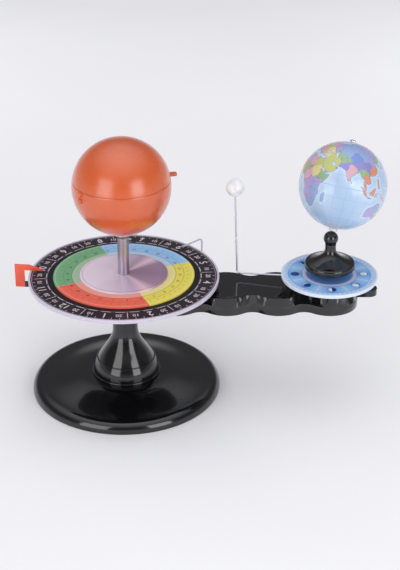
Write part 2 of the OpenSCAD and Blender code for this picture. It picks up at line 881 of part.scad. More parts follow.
module arm_case_lower() {
    color("#141418") difference() {
        union() {
            difference() {
                translate([0, 0, arm_z]) linear_extrude(split_z - arm_z) arm_outline(0);
                translate([0, 0, floor_z]) linear_extrude(split_z - floor_z + cut) arm_outline(case_wall);
            }
            at_case_screws() rod(case_boss_r, arm_z + 0.5, split_z - arm_z - 0.5);
            wire_lug();
        }
        rod(hub_hole_r, arm_z - cut, floor_t + 2 * cut);
        at_idlers() rod(idler_pin_r, arm_z + 1, floor_t);
        translate([earth_x, 0, 0]) rod(spindle_r + run_fit, spindle_z, floor_t);
        at_case_screws() {
            rod(screw_r + thin_gap, arm_z - cut, split_z);
            rod(head_r + thin_gap, arm_z - cut, head_h + cut + 0.2);
        }
        rotate([0, 0, wire_az]) translate([lobe_r + case_wall, 0, arm_z + lug_t / 2]) rotate([0, 90, 0])
            cylinder(r = wire_r, h = lug_len);
    }
}

module arm_case_upper() {
    rebate_r = lobe_r - case_wall + bridge_rebate;
    color("#16161a") difference() {
        union() {
            difference() {
                translate([0, 0, split_z]) linear_extrude(arm_top - split_z) arm_outline(0);
                translate([0, 0, split_z - cut]) linear_extrude(roof_z - split_z + cut) arm_outline(case_wall);
            }
            at_case_screws() rod(case_boss_r, split_z, arm_top - 0.5 - split_z);
            date_lug();
            translate([lay_x, lay_y, 0]) rod(lay_pin_r + 1.4, wheel_top + 0.2, arm_top - 0.5 - wheel_top);
            translate([earth_x + lobe_r - case_wall / 2, -handle_w / 2, arm_top - handle_t - 3])
                cube([handle_reach - lobe_r + case_wall / 2 - handle_w / 2, handle_w, handle_t]);
            translate([earth_x + handle_reach - handle_w / 2, 0, 0])
                rod(handle_w / 2, arm_top - handle_t - 3, handle_t);
        }
        rod(hub_hole_r, roof_z - cut, roof_t + 2 * cut);
        at_idlers() rod(idler_pin_r, roof_z - cut, cut + 1.5);
        translate([lay_x, lay_y, 0]) rod(lay_pin_r, wheel_top, roof_z - wheel_top + 1.5);
        translate([earth_x, 0, 0]) rod(sleeve_r + gap, roof_z - cut, roof_t + 2 * cut);
        at_case_screws() rod(screw_r, split_z - cut, cut + 6);
        at_pointer_screws() rod(screw_r, 0, pointer_t / 2 + side_lug_w - 0.8);
        intersection() {
            translate([earth_x, 0, 0]) rod(rebate_r, split_z - cut, cut + 0.2 + bridge_t);
            translate([earth_x - bridge_side, -2 * lobe_r, arm_z]) cube([4 * lobe_r, 4 * lobe_r, arm_top - arm_z]);
        }
    }
}

module arm_screws() {
    color("silver") at_case_screws() screw_up(arm_z + 0.2, split_z - arm_z + 4);
}

module hub_bushes() {
    color("#c9a24a") {
        ring(hub_hole_r, tube_r + run_fit, arm_z, floor_t);
        ring(bush_flange_r, tube_r + run_fit, floor_z, bush_flange_t);
        ring(hub_hole_r, tube_r + run_fit, roof_z, roof_t);
        ring(bush_flange_r, tube_r + run_fit, arm_top, bush_flange_t);
    }
}

module idler_pins() {
    color("#b8bac0") at_idlers() rod(idler_pin_r, arm_z + 1, roof_z + 1.5 - arm_z - 1);
}

module lay_pin() {
    color("#b8bac0") translate([lay_x, lay_y, 0]) {
        rod(lay_pin_r, pinion_z - thin_gap, roof_z + 1.5 - pinion_z + thin_gap);
        rod(lay_pin_r + 1.1, pinion_z - thin_gap - lay_head_t, lay_head_t);
    }
}

// The bridge lies on the lower case's wall at the end lobe and is held down by the upper case
module bridge_plate() {
    color("#8d9098") difference() {
        intersection() {
            translate([earth_x, 0, 0]) rod(lobe_r - case_wall + bridge_rebate - thin_gap, split_z, bridge_t + 0.1);
            translate([earth_x - bridge_side + thin_gap, -2 * lobe_r, arm_z])
                cube([4 * lobe_r, 4 * lobe_r, arm_top - arm_z]);
        }
        translate([earth_x, 0, 0]) rod(post_r, split_z - cut, bridge_t + 2 * cut);
    }
}

module dial_post() {
    color("#c2c4ca") translate([earth_x, 0, 0]) ring(post_r, spindle_r + run_fit, split_z, phase_z + phase_t - split_z);
}

module phase_dial() {
    color("#dfe6f2") translate([earth_x, 0, 0]) difference() {
        union() {
            dial_plate(phase_r, phase_z, phase_t, dial_skirt);
            rod(phase_boss_r, phase_z - phase_boss_t, phase_boss_t + phase_t);
        }
        rod(post_r, phase_z - phase_boss_t - cut, phase_t + phase_boss_t + 2 * cut);
    }
}

module phase_card() {
    color("#5fa8ea") translate([earth_x, 0, 0]) ring(phase_r - lip_w, post_r + thin_gap, phase_z + phase_t, card_t);
}

// Pointers

// A flat plate in the shape of a C, on edge: a bar from the arm, an upright past the rim, a tapered bar back
module date_pointer() {
    upright_in = pointer_leg_r - pointer_w;
    bar_top = pointer_high + pointer_bar;
    color("#e0432c") difference() {
        rotate([0, 0, date_az]) rotate([90, 0, 0]) translate([0, 0, -pointer_t / 2])
            linear_extrude(pointer_t) polygon([
                [lobe_r + gap, pointer_low], [pointer_leg_r, pointer_low], [pointer_leg_r, bar_top],
                [pointer_tip_r + pointer_taper, bar_top], [pointer_tip_r, pointer_high + pointer_point],
                [pointer_tip_r, pointer_high], [upright_in, pointer_high],
                [upright_in, arm_top], [lobe_r + gap, arm_top]
            ]);
        at_pointer_screws() rod(screw_r + thin_gap, -pointer_t, 2 * pointer_t);
    }
}

module wire_pointer() {
    color("#e9e9ee") rotate([0, 0, wire_az]) {
        bent_wire(lobe_r + case_wall, pointer_leg_r, arm_z + lug_t / 2, wire_bar_z - bend_r);
        translate([pointer_leg_r - bend_r, 0, wire_bar_z - bend_r]) rotate([90, 0, 0])
            rotate_extrude(angle = 90) translate([bend_r, 0]) circle(r = wire_r);
        translate([pointer_tip_r, 0, wire_bar_z]) rotate([0, 90, 0])
            cylinder(r = wire_r, h = pointer_leg_r - bend_r - pointer_tip_r);
    }
}

module pointer_screws() {
    color("silver") at_pointer_screws() screw_up(-pointer_t / 2 - head_h, pointer_t + side_lug_w - 1);
}

// Gear train

module web_holes() {
    for (a = [0:60:300]) rotate([0, 0, a + 30]) translate([web_hole_at, 0, 0])
        rod(web_hole_r, gear_z - cut, roof_z - gear_z);
}

module idler_gear(k, phase, h) {
    color("#d9d4c4") translate([k * pitch, 0, 0]) rotate([0, 0, phase]) difference() {
        union() {
            gear(gear_n, gear_m, gear_z, h);
            rod(idler_hub_r, floor_z + thin_gap, roof_z - floor_z - 2 * thin_gap);
        }
        rod(idler_pin_r + run_fit, floor_z - cut, roof_z - floor_z + 2 * cut);
        web_holes();
    }
}

module idler_gear_1() idler_gear(1, phase_1, gear_t);

module idler_gear_2() idler_gear(2, phase_2, gear_t);

// The third idler is tall, because it also drives the Moon pinion above the Earth gear
module idler_gear_3() idler_gear(3, phase_3, pinion_top - gear_z);

module earth_gear() {
    hub_top = split_z - thin_gap;
    color("#d9d4c4") translate([earth_x, 0, 0]) rotate([0, 0, phase_4]) difference() {
        union() {
            gear(gear_n, gear_m, gear_z, gear_t);
            rod(idler_hub_r + 1, floor_z + thin_gap, hub_top - floor_z - thin_gap);
        }
        rod(spindle_r, floor_z - cut, gear_t + 4 * cut);
        web_holes();
    }
}

module earth_spindle() {
    color("#b8bac0") translate([earth_x, 0, 0]) rod(spindle_r, spindle_z, spindle_top - spindle_z);
}

// Earth support and globe

// Radius of the support's cone at a share of its height, from flange to neck
function support_at(t) = support_neck_r + (flange_r * support_wide - support_neck_r) * (1 - t) ^ 2.2;

module earth_support() {
    cone_z = flange_z + flange_t;
    cone_h = support_top - cone_z - 4;
    curve = [for (i = [0:support_steps])
        [support_at(i / support_steps), cone_z + cone_h * i / support_steps]];
    color("#101014") translate([earth_x, 0, 0]) difference() {
        rotate_extrude() polygon(concat(
            [[0, stem_z], [stem_r, stem_z], [stem_r, flange_z], [flange_r - 0.8, flange_z],
            [flange_r, flange_z + 0.8], [flange_r, cone_z - 0.8], [flange_r - 0.8, cone_z]],
            curve, [[support_neck_r, support_top], [0, support_top]]
        ));
        rod(spindle_r, stem_z - cut, spindle_top - stem_z + cut);
    }
}

// Places its children on the tilted axis, with the collar's centre as zero
module on_axis() {
    translate([earth_x, 0, collar_z]) rotate([0, 0, tilt_az]) rotate([0, tilt, 0]) children();
}

module axis_collar() {
    color("#19191d") difference() {
        translate([earth_x, 0, collar_z]) sphere(r = collar_r);
        translate([earth_x, 0, 0]) rod(2 * collar_r, support_top - 2 * collar_r, 2 * collar_r);
        on_axis() rod(rod_r, -rod_deep, 3 * collar_r);
    }
}

module axis_rod() {
    color("#c2c4ca") on_axis() rod(rod_r, -rod_deep, rod_deep + globe_lift + globe_r + gap + cap_t / 2);
}

module north_cap() {
    color("#c2c4ca") on_axis() difference() {
        intersection() {
            rod(cap_r, globe_lift + globe_r + gap, cap_t);
            translate([0, 0, globe_lift + globe_r + gap + cap_t - 1.6 * cap_r]) sphere(r = 1.6 * cap_r);
        }
        rod(rod_r, globe_lift, globe_r + gap + cap_t / 2);
    }
}

// Half of the globe's shell with its bearing boss, to be cut at the equator
module globe_half(side, boss_from, boss_len) {
    on_axis() difference() {
        union() {
            intersection() {
                translate([0, 0, globe_lift]) difference() {
                    sphere(r = globe_r);
                    sphere(r = globe_r - globe_wall);
                }
                rod(globe_r + cut, side > 0 ? globe_lift : globe_lift - globe_r - cut, globe_r + cut);
            }
            rod(axle_boss_r, boss_from, boss_len);
        }
        rod(rod_r + run_fit, 0, globe_lift + 2 * globe_r);
    }
}

module globe_south() {
    boss_from = collar_r + gap;
    color("#8fc4e8") globe_half(-1, boss_from, globe_lift - globe_r + axle_boss_in - boss_from);
}

module globe_north() {
    color("#9ccbe9") difference() {
        globe_half(1, globe_lift + globe_r - axle_boss_in, axle_boss_in - globe_wall / 2);
    }
}

// Moon

module moon_pinion() {
    color("#d9d4c4") translate([lay_x, lay_y, 0]) rotate([0, 0, lay_phase]) difference() {
        union() {
            gear(pinion_n, gear_m, pinion_z, pinion_t);
            rod(lay_pin_r + 1.6, pinion_top, wheel_z - pinion_top);
        }
        rod(lay_pin_r + run_fit, pinion_z - cut, wheel_z - pinion_z + 2 * cut);
    }
}

module moon_wheel() {
    color("#d9d4c4") translate([lay_x, lay_y, 0]) rotate([0, 0, lay_phase]) difference() {
        gear(wheel_n, moon_m, wheel_z, wheel_t);
        rod(lay_pin_r + run_fit, wheel_z - cut, wheel_t + 2 * cut);
    }
}

// The sleeve turns on the hollow post and carries the Moon hub above the case
module moon_gear() {
    sleeve_z = split_z + bridge_t + 0.2;
    color("#d9d4c4") translate([earth_x, 0, 0]) rotate([0, 0, sleeve_phase]) difference() {
        union() {
            gear(sleeve_n, moon_m, wheel_z, wheel_t);
            rod(sleeve_r, sleeve_z, moon_hub_top - sleeve_z);
        }
        rod(sleeve_bore_r, sleeve_z - cut, moon_hub_top - sleeve_z + 2 * cut);
    }
}

// Places its children on the Moon's wire, which leans outward as one piece
module at_moon() {
    translate([earth_x, 0, moon_wire_z]) rotate([0, 0, moon_az]) rotate([0, wire_lean, 0]) children();
}

module moon_hub() {
    color("#17171b") difference() {
        translate([earth_x, 0, 0]) ring(moon_hub_r, sleeve_r, moon_hub_z, moon_hub_h);
        at_moon() translate([sleeve_r + 0.8, 0, 0]) rotate([0, 90, 0]) cylinder(r = wire_r, h = moon_hub_r);
    }
}

module moon_wire() {
    color("#cfd0d6") at_moon() bent_wire(sleeve_r + 0.8, moon_orbit, 0, moon_rise - moon_r / 2);
}

module moon_ball() {
    color("#f2f1ee") at_moon() translate([moon_orbit, 0, moon_rise]) difference() {
        sphere(r = moon_r);
        rod(wire_r, -2 * moon_r, 1.5 * moon_r);
    }
}

base_shell();
base_cover();
cover_screws();
battery_door();
battery_cells();
battery_contacts();
base_weight();
switch_body();
switch_knob();
pedestal();
pedestal_screws();
lamp_tube();
lamp_leads();
thrust_washer();
centre_gear();
dial_hub();
season_dial();
season_card();
season_ring();
centre_plate();
sun_collar();
lamp_socket();
bulb_base();
bulb_glass();
sun_lower_shell();
sun_upper_shell();
arm_case_lower();
arm_case_upper();
arm_screws();
hub_bushes();
idler_pins();
lay_pin();
bridge_plate();
dial_post();
phase_dial();
phase_card();
date_pointer();
wire_pointer();
pointer_screws();
idler_gear_1();
idler_gear_2();
idler_gear_3();
earth_gear();
earth_spindle();
earth_support();
axis_collar();
axis_rod();
north_cap();
globe_south();
globe_north();
moon_pinion();
moon_wheel();
moon_gear();
moon_hub();
moon_wire();
moon_ball();
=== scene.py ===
"""Looks of the tellurion: a Sun on a column, with the Earth and the Moon on a geared arm.

Sizes are millimetres and angles are degrees; they become metres and radians where a mesh or a shader is
made. The stage, the lamps and the camera are in metres.
"""
import json
import math

import bmesh
import bpy
import numpy as np
from mathutils import Euler, Matrix, Vector


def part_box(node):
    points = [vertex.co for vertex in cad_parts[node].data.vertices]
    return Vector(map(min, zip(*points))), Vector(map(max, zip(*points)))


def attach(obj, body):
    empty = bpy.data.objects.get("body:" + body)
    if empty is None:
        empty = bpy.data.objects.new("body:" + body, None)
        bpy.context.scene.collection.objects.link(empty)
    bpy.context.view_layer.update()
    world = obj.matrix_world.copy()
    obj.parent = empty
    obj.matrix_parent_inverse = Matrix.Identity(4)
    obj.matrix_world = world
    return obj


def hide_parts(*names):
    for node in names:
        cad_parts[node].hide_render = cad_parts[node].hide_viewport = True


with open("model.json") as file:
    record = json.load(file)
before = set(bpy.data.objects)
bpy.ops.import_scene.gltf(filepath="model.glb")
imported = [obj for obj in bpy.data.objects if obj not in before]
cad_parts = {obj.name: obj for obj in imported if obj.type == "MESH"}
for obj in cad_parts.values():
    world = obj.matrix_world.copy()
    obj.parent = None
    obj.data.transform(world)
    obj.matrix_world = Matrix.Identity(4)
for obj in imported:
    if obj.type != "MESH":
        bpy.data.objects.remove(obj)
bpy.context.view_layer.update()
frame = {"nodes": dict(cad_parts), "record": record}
CAD = frame["nodes"]
SCENE = bpy.context.scene
MM = 0.001

# Sizes of the base and pedestal

BASE_R = 105.5
BASE_H = 12.5
BASE_EDGE = 10.5
BASE_WALL = 2.6
TUBE_R = 6.25
SEAT_R = 44.0
SEAT_Z = 19.5
SEAT_BORE_R = TUBE_R + 0.3
SWITCH_SLOT = (10.6, 20.8, 4.6)
SWITCH_Z = 6.6
FOOT_R = 38.0
FOOT_ROUND = 1.0
BELL_R = 36.5
BELL_Z = 22.0
BELL_H = 52.0
BELL_HOLLOW = 17 / 22
BEAD_SHARE = 0.3
BEAD_R = 0.8
NECK_R = 14.0
NECK_ROUND = 0.8
PEDESTAL_TOP = 104.0

# Sizes of the season dial

DIAL_R = 104.0
DIAL_Z = 135.6
DIAL_THICK = 2.0
DIAL_FACE = 138.0
LIP_W = 2.3
LIP_RISE = 1.0
LIP_MARGIN = 0.1
DISC_BORE_R = TUBE_R + 0.1
SEASON_R = 77.0
SEASON_TOP = 139.8
PLATE_R = 48.0
PLATE_TOP = 141.4
BAR_H = 0.08
PRINT_LIFT = 0.02
NUMBER_LIFT = 0.04
NUMBER_THICK = 0.03
NUMBER_WEIGHT = 0.012
MONTHS = 12
MONTH_R = 91.6
MONTH_START = 260
MONTH_SIZE = 12.0
DAY_SIZE = 7.2
DAY_TURNS = {"10": -9.5, "20": 9.5}
WEEKS = 52
WEEK_R = 61.2
WEEK_START = 262
WEEK_SIZE = 4.6

# Sizes of the Sun

SUN_R = 53.0
SUN_WALL = 1.8
SUN_Z = 244.0
SUN_BORE_R = TUBE_R + 0.1
SEAM = 8.0
SEAM_GAP = 0.1
SEAM_GROOVE = 1.1
SEAM_BREAK_LOW = 0.35
SEAM_BREAK_TOP = 0.45
RIDGE_OUT_R = 49.47
RIDGE_IN_R = 48.07
RIDGE_TOP = 12.0
RIDGE_EDGE = 0.3
RIDGE_FOOT = 3.0
RIDGE_ROOT_R = 51.11
RIDGE_UNDER = 2.5
TAB_IN = 51.7
TAB_OUT = 59.4
TAB_HALF = 3.6
TAB_ROUND = 1.8
TAB_TOP = 2.8
TAB_EDGE = 0.6
TAB_TURN = 11
CATCH_IN = 51.4
CATCH_OUT = 55.6
CATCH_R = 2.7
CATCH_ROUND = 1.1
CATCH_TURN = 219
CATCH_DROPS = {"sun_catch": 3.4, "sun_catch_low": 10.4}
SEAT_RING_R = 7.8
SEAT_RING_DROP = 6.0
FLANGE_R = 9.6
FLANGE_DROP = 3.0

# Sizes of the arm, its pointers and the phase dial

GEAR_PITCH = 56.0
LOBE_R = 32.12
NOTCH_R = 16.0
CASE_WALL = 2.2
CASE_EDGES = {"arm_case_lower": 0.5, "arm_case_upper": 0.9}
POINTER_EDGE = 0.3
POINTER_LEG_R = 109.6
POINTER_BAR_TOP = 126.4
WIRE_R = 1.0
WIRE_BEND = 4.0
WIRE_POINTER = ((34.32, 107.5), (120.5, 107.5), (120.5, 142.0), (89.5, 142.0))
WIRE_POINTER_TURN = 45
EARTH_X = 224.0
PHASE_R = 52.5
PHASE_Z = 137.8
PHASE_THICK = 1.8
PHASE_FACE = 140.0
PHASE_HOLE_R = 4.4
PHASE_BOSS_R = 8.0
PHASE_BOSS_LOW = 136.9
PHASE_BOSS_TOP = 138.2
PHASES = 8
SPOT_PLACE_R = 37.4
SPOT_R = 4.7
SPOT_TOP = 0.05
LIT_R = 4.1
LIT_TOP = 0.09

# Sizes of the Earth and Moon

STEM_R = 7.0
BORE_R = 2.75
SUPPORT_LOW = 140.3
RIM_R = 27.5
RIM_LOW = 148.0
RIM_TOP = 155.6
RIM_ROUND_LOW = 1.6
RIM_ROUND_TOP = 3.4
CONE_R = 23.0
CONE_LOW = 156.2
CONE_FLARE = 2.6
CONE_TOP = 172.76
SUPPORT_NECK_R = 6.0
SUPPORT_TOP = 176.76
COLLAR_Z = 183.0
COLLAR_R = 8.0
COLLAR_CUT = 51
COLLAR_DROP = 6.2
GLOBE_LIFT = 58.0
GLOBE_R = 47.48
GLOBE_WALL = 1.6
GLOBE_HOLE_R = 1.81
GLOBE_BOSS_R = 4.6
GLOBE_BOSS_GAP = 0.3
EQUATOR_HALF = 0.25
EQUATOR_DEEP = 0.12
TILT = 23.5
TILT_TURN = 58
MOON_R = 10.0
MOON_ARM_Z = 134.9
MOON_ARM_TURN = 169
MOON_ARM_LEAN = 1.8
MOON_REACH = 102.0
MOON_UP = 102.0
MOON_WIRE_IN = 6.7
MOON_WIRE_TOP = 97.0
MOON_HUB_EDGE = 0.5
PITS = 40
PIT_DEEP = 0.10
PIT_BRIM_H = 0.05
PIT_BRIM = 0.35

# Sizes of the screws

SCREW_HEAD_R = 2.7
SCREW_HEAD_H = 1.1
SCREW_R = 1.4
SCREW_GAP = 0.9
RECESS_LONG = 3.0
RECESS_WIDE = 0.7
RECESS_DEEP = 1.2
COVER_SCREW_R = 86.0
COVER_SCREW_Z = 0.1
COVER_SCREW_LONG = 5.4
DOOR_X = -44.0
DOOR_SCREW_OFF = 21.7
CASE_SCREW_LONG = 14.0


def moved(x, y, z):
    """A shift in mm."""
    return Matrix.Translation(Vector((x, y, z)) * MM)


def turned(degrees, axis):
    """A turn about an axis through the origin."""
    return Matrix.Rotation(math.radians(degrees), 4, axis)


AXIS_FRAME = moved(EARTH_X, 0, COLLAR_Z) @ turned(TILT_TURN, "Z") @ turned(TILT, "Y")
MOON_FRAME = moved(EARTH_X, 0, MOON_ARM_Z) @ turned(MOON_ARM_TURN, "Z") @ turned(MOON_ARM_LEAN, "Y")

# Shader nodes


def paint(red, green, blue):
    """A colour as it looks on screen, made linear for a shader."""
    def linear(value):
        return value / 12.92 if value <= 0.04045 else ((value + 0.055) / 1.055) ** 2.4
    return (linear(red), linear(green), linear(blue), 1.0)


def feed(tree, socket, value):
    """Links a socket to another one, or sets it to a plain value."""
    if isinstance(value, bpy.types.NodeSocket):
        tree.links.new(value, socket)
    else:
        socket.default_value = value


def put(tree, kind, inputs=None, **settings):
    """Adds a node, sets its properties, and feeds its inputs by name or number."""
    made = tree.nodes.new(kind)
    for key, value in settings.items():
        setattr(made, key, value)
    for key, value in (inputs or {}).items():
        feed(tree, made.inputs[key], value)
    return made


def calc(tree, operation, first, second=0.0, third=0.0):
    """One sum of a Math node."""
    return put(tree, "ShaderNodeMath", {0: first, 1: second, 2: third}, operation=operation).outputs[0]


def plus(tree, first, second):
    return calc(tree, "ADD", first, second)


def minus(tree, first, second):
    return calc(tree, "SUBTRACT", first, second)


def times(tree, first, second):
    return calc(tree, "MULTIPLY", first, second)


def rising(tree, value, low, high):
    """0 below one value, 1 above another, and straight between them."""
    return put(tree, "ShaderNodeMapRange", {0: value, 1: low, 2: high}).outputs[0]


def between(tree, value, low, high, soft):
    """1 where a value lies between two others, with soft sides."""
    start = rising(tree, value, low - soft, low + soft)
    return minus(tree, start, rising(tree, value, high - soft, high + soft))


def mix(tree, factor, first, second):
    """One colour turned into another by a factor."""
    made = put(tree, "ShaderNodeMix", {0: factor, 6: first, 7: second}, data_type="RGBA")
    return made.outputs[2]


def tinted(tree, colour, amount, share, tint):
    """A colour turned to a tint by a share of an amount."""
    return mix(tree, times(tree, amount, share), colour, tint)


def toned(tree, tone, colour, depth):
    """A colour that darkens a little where the tone is low."""
    dark = tuple(part * (1 - depth) for part in colour[:3]) + (1.0,)
    return mix(tree, tone, dark, colour)


def ringed(tree, radius, colour, rings):
    """A colour with rings over it, each given as inner radius, outer radius, soft width and colour."""
    for low, high, soft, tint in rings:
        colour = mix(tree, between(tree, radius, low, high, soft), colour, tint)
    return colour


def ramp(tree, factor, stops, interpolation="LINEAR"):
    """A row of colours along a factor."""
    made = put(tree, "ShaderNodeValToRGB", {0: factor})
    made.color_ramp.interpolation = interpolation
    elements = made.color_ramp.elements
    for k, (position, colour) in enumerate(stops):
        stop = elements[k] if k < 2 else elements.new(position)
        stop.position = position
        stop.color = colour
    return made.outputs["Color"]


def noise(tree, vector, scale, detail=2.0, rough=0.5):
    """Plain three-dimensional noise from 0 to 1."""
    inputs = {"Vector": vector, "Scale": scale, "Detail": detail, "Roughness": rough}
    return put(tree, "ShaderNodeTexNoise", inputs).outputs[0]


def object_place(tree):
    """A point's place, from the object's own origin."""
    return put(tree, "ShaderNodeTexCoord").outputs["Object"]


def axes_of(tree, vector):
    """A vector's X, Y and Z."""
    return put(tree, "ShaderNodeSeparateXYZ", {0: vector}).outputs


def attribute(tree, name, output):
    """A value that the mesh carries at each vertex."""
    return put(tree, "ShaderNodeAttribute", attribute_name=name).outputs[output]


def new_group(name, inputs, outputs):
    """An empty shader group with named values in and out."""
    tree = bpy.data.node_groups.new(name, "ShaderNodeTree")
    for label, value in inputs.items():
        socket = tree.interface.new_socket(label, in_out="INPUT", socket_type="NodeSocketFloat")
        socket.default_value = value
    for label in outputs:
        tree.interface.new_socket(label, in_out="OUTPUT", socket_type="NodeSocketFloat")
    return tree, tree.nodes.new("NodeGroupInput").outputs, tree.nodes.new("NodeGroupOutput").inputs


def use_group(tree, group, **values):
    """Places a shader group, with its inputs given in snake case."""
    made = put(tree, "ShaderNodeGroup", node_tree=group)
    for key, value in values.items():
        feed(tree, made.inputs[key.replace("_", " ").title()], value)
    return made.outputs


def moulded_group():
    """Moulded plastic: fine grain, polish that varies, and hair scratches."""
    tree, given, out = new_group(
        "moulded_skin", {"Roughness": 0.2, "Spread": 0.1, "Grain": 900.0}, ("Roughness", "Height", "Tone"))
    place = object_place(tree)
    smudge = noise(tree, place, 28.0, 3.0)
    grain = noise(tree, place, given["Grain"], 2.0)
    drawn_out = {"Vector": place, "Rotation": (0.4, 0.7, 0.3), "Scale": (40, 900, 900)}
    streak = put(tree, "ShaderNodeMapping", drawn_out).outputs[0]
    scratch = calc(tree, "GREATER_THAN", noise(tree, streak, 1.0, 1.0), 0.72)
    drift = times(tree, minus(tree, smudge, 0.5), given["Spread"])
    worn = times(tree, scratch, times(tree, given["Spread"], 0.35))
    feed(tree, out["Roughness"], plus(tree, plus(tree, given["Roughness"], drift), worn))
    feed(tree, out["Height"], minus(tree, grain, times(tree, scratch, 0.5)))
    feed(tree, out["Tone"], noise(tree, place, 60.0, 4.0))
    return tree


def brushed_group():
    """Drawn or turned metal: fine lines, drawn out along one way."""
    tree, given, out = new_group(
        "brushed_skin", {"Roughness": 0.3, "Spread": 0.2, "Across": 3000.0, "Along": 60.0},
        ("Roughness", "Height", "Tone"))
    scale = put(tree, "ShaderNodeCombineXYZ", {0: given["Across"], 1: given["Across"], 2: given["Along"]})
    drawn_out = {"Vector": object_place(tree), "Scale": scale.outputs[0]}
    lines = put(tree, "ShaderNodeMapping", drawn_out).outputs[0]
    line = noise(tree, lines, 1.0, 3.0)
    drift = times(tree, minus(tree, line, 0.5), given["Spread"])
    feed(tree, out["Roughness"], plus(tree, given["Roughness"], drift))
    feed(tree, out["Height"], line)
    feed(tree, out["Tone"], noise(tree, lines, 0.35, 2.0))
    return tree


def polar_group():
    """Where a point lies round an upright axis: its turn from 0 to 1, and its radius in mm."""
    tree, given, out = new_group("polar_place", {"Centre X": 0.0}, ("Turn", "Radius"))
    axes = axes_of(tree, object_place(tree))
    across = minus(tree, axes["X"], times(tree, given["Centre X"], MM))
    angle = calc(tree, "ARCTAN2", axes["Y"], across)
    feed(tree, out["Turn"], calc(tree, "FRACT", calc(tree, "DIVIDE", angle, 2 * math.pi)))
    square = plus(tree, calc(tree, "POWER", across, 2.0), calc(tree, "POWER", axes["Y"], 2.0))
    feed(tree, out["Radius"], times(tree, calc(tree, "SQRT", square), 1 / MM))
    return tree


def ink_group():
    """Printed card: dots of ink, and paper that takes it unevenly."""
    tree, given, out = new_group(
        "printed_ink", {"Grain": 2600.0, "Roughness": 0.3}, ("Tone", "Roughness", "Height"))
    place = object_place(tree)
    dots = noise(tree, place, given["Grain"], 1.0)
    cloud = noise(tree, place, 45.0, 3.0)
    feed(tree, out["Tone"], plus(tree, times(tree, dots, 0.5), times(tree, cloud, 0.5)))
    drift = times(tree, minus(tree, cloud, 0.5), 0.12)
    feed(tree, out["Roughness"], plus(tree, given["Roughness"], drift))
    feed(tree, out["Height"], dots)
    return tree


MOULDED = moulded_group()
BRUSHED = brushed_group()
POLAR = polar_group()
INK = ink_group()

# Materials

BLACK = paint(0.055, 0.053, 0.062)
RELIEF_STRENGTH = 0.6
SEASON_TURN = 67 / 360
GRID_STEP = math.radians(15)
COPPER_END = 16


def new_material(name, **plain):
    """A material, with what is the same all over set on its shader's own sockets."""
    material = bpy.data.materials.new(name)
    material.use_nodes = True
    sockets = material.node_tree.nodes["Principled BSDF"].inputs
    for key, value in plain.items():
        sockets[key.replace("_", " ").title().replace("Ior", "IOR")].default_value = value
    return material, material.node_tree


def complete(material, colour, roughness, height=None, depth=0.0):
    """Feeds a material its colour, its roughness and, where it has a depth in mm, its relief."""
    tree = material.node_tree
    sockets = tree.nodes["Principled BSDF"].inputs
    feed(tree, sockets["Base Color"], colour)
    feed(tree, sockets["Roughness"], roughness)
    if depth:
        relief = {"Height": height, "Distance": depth * MM, "Strength": RELIEF_STRENGTH}
        feed(tree, sockets["Normal"], put(tree, "ShaderNodeBump", relief).outputs[0])
    return material


def moulded(name, colour, roughness, spread=0.1, grain=900.0, depth=0.01, tone=0.12, **plain):
    """A moulded plastic."""
    material, tree = new_material(name, **plain)
    skin = use_group(tree, MOULDED, roughness=roughness, spread=spread, grain=grain)
    colour = toned(tree, skin["Tone"], colour, tone)
    return complete(material, colour, skin["Roughness"], skin["Height"], depth)


def brushed(name, colour, roughness, across, along, depth=0.004, tone=0.25):
    """A drawn or turned metal."""
    material, tree = new_material(name, metallic=1.0)
    skin = use_group(tree, BRUSHED, roughness=roughness, spread=0.22, across=across, along=along)
    colour = toned(tree, skin["Tone"], colour, tone)
    return complete(material, colour, skin["Roughness"], skin["Height"], depth)


def season_colours():
    """Four season sectors, each with a pale inner ring, fine rules and a scale of weeks."""
    material, tree = new_material(
        "season_colours", specular_ior_level=0.25, coat_weight=0.08, coat_roughness=0.12)
    place = use_group(tree, POLAR)
    ink = use_group(tree, INK)
    radius = place["Radius"]
    turn = calc(tree, "FRACT", plus(tree, place["Turn"], SEASON_TURN))
    yellow, blue = paint(0.91, 0.87, 0.38), paint(0.60, 0.78, 0.95)
    green, red = paint(0.47, 0.70, 0.52), paint(0.93, 0.43, 0.35)
    sector = ramp(tree, turn, ((0, yellow), (0.25, blue), (0.5, green), (0.75, red)), "CONSTANT")
    pale = mix(tree, 0.30, sector, paint(0.98, 0.97, 0.93))
    deep = mix(tree, 0.42, sector, paint(0.22, 0.24, 0.18))
    colour = ringed(tree, radius, sector, (
        (40, 56.8, 0.2, pale), (65.2, 65.9, 0.15, deep), (56.4, 57.2, 0.15, deep), (74.6, 75.4, 0.15, pale)))
    week = calc(tree, "FRACT", times(tree, turn, WEEKS))
    mark = times(tree, between(tree, week, 0.42, 0.58, 0.03), between(tree, radius, 68.2, 71.0, 0.15))
    colour = tinted(tree, colour, mark, 0.75, deep)
    quarter = calc(tree, "PINGPONG", plus(tree, turn, 0.125), 0.125)
    edge = times(tree, minus(tree, 0.125, quarter), times(tree, radius, 2 * math.pi))
    colour = tinted(tree, colour, calc(tree, "LESS_THAN", edge, 0.35), 0.6, pale)
    colour = tinted(tree, colour, ink["Tone"], 0.16, deep)
    return complete(material, colour, ink["Roughness"], ink["Height"], 0.006)


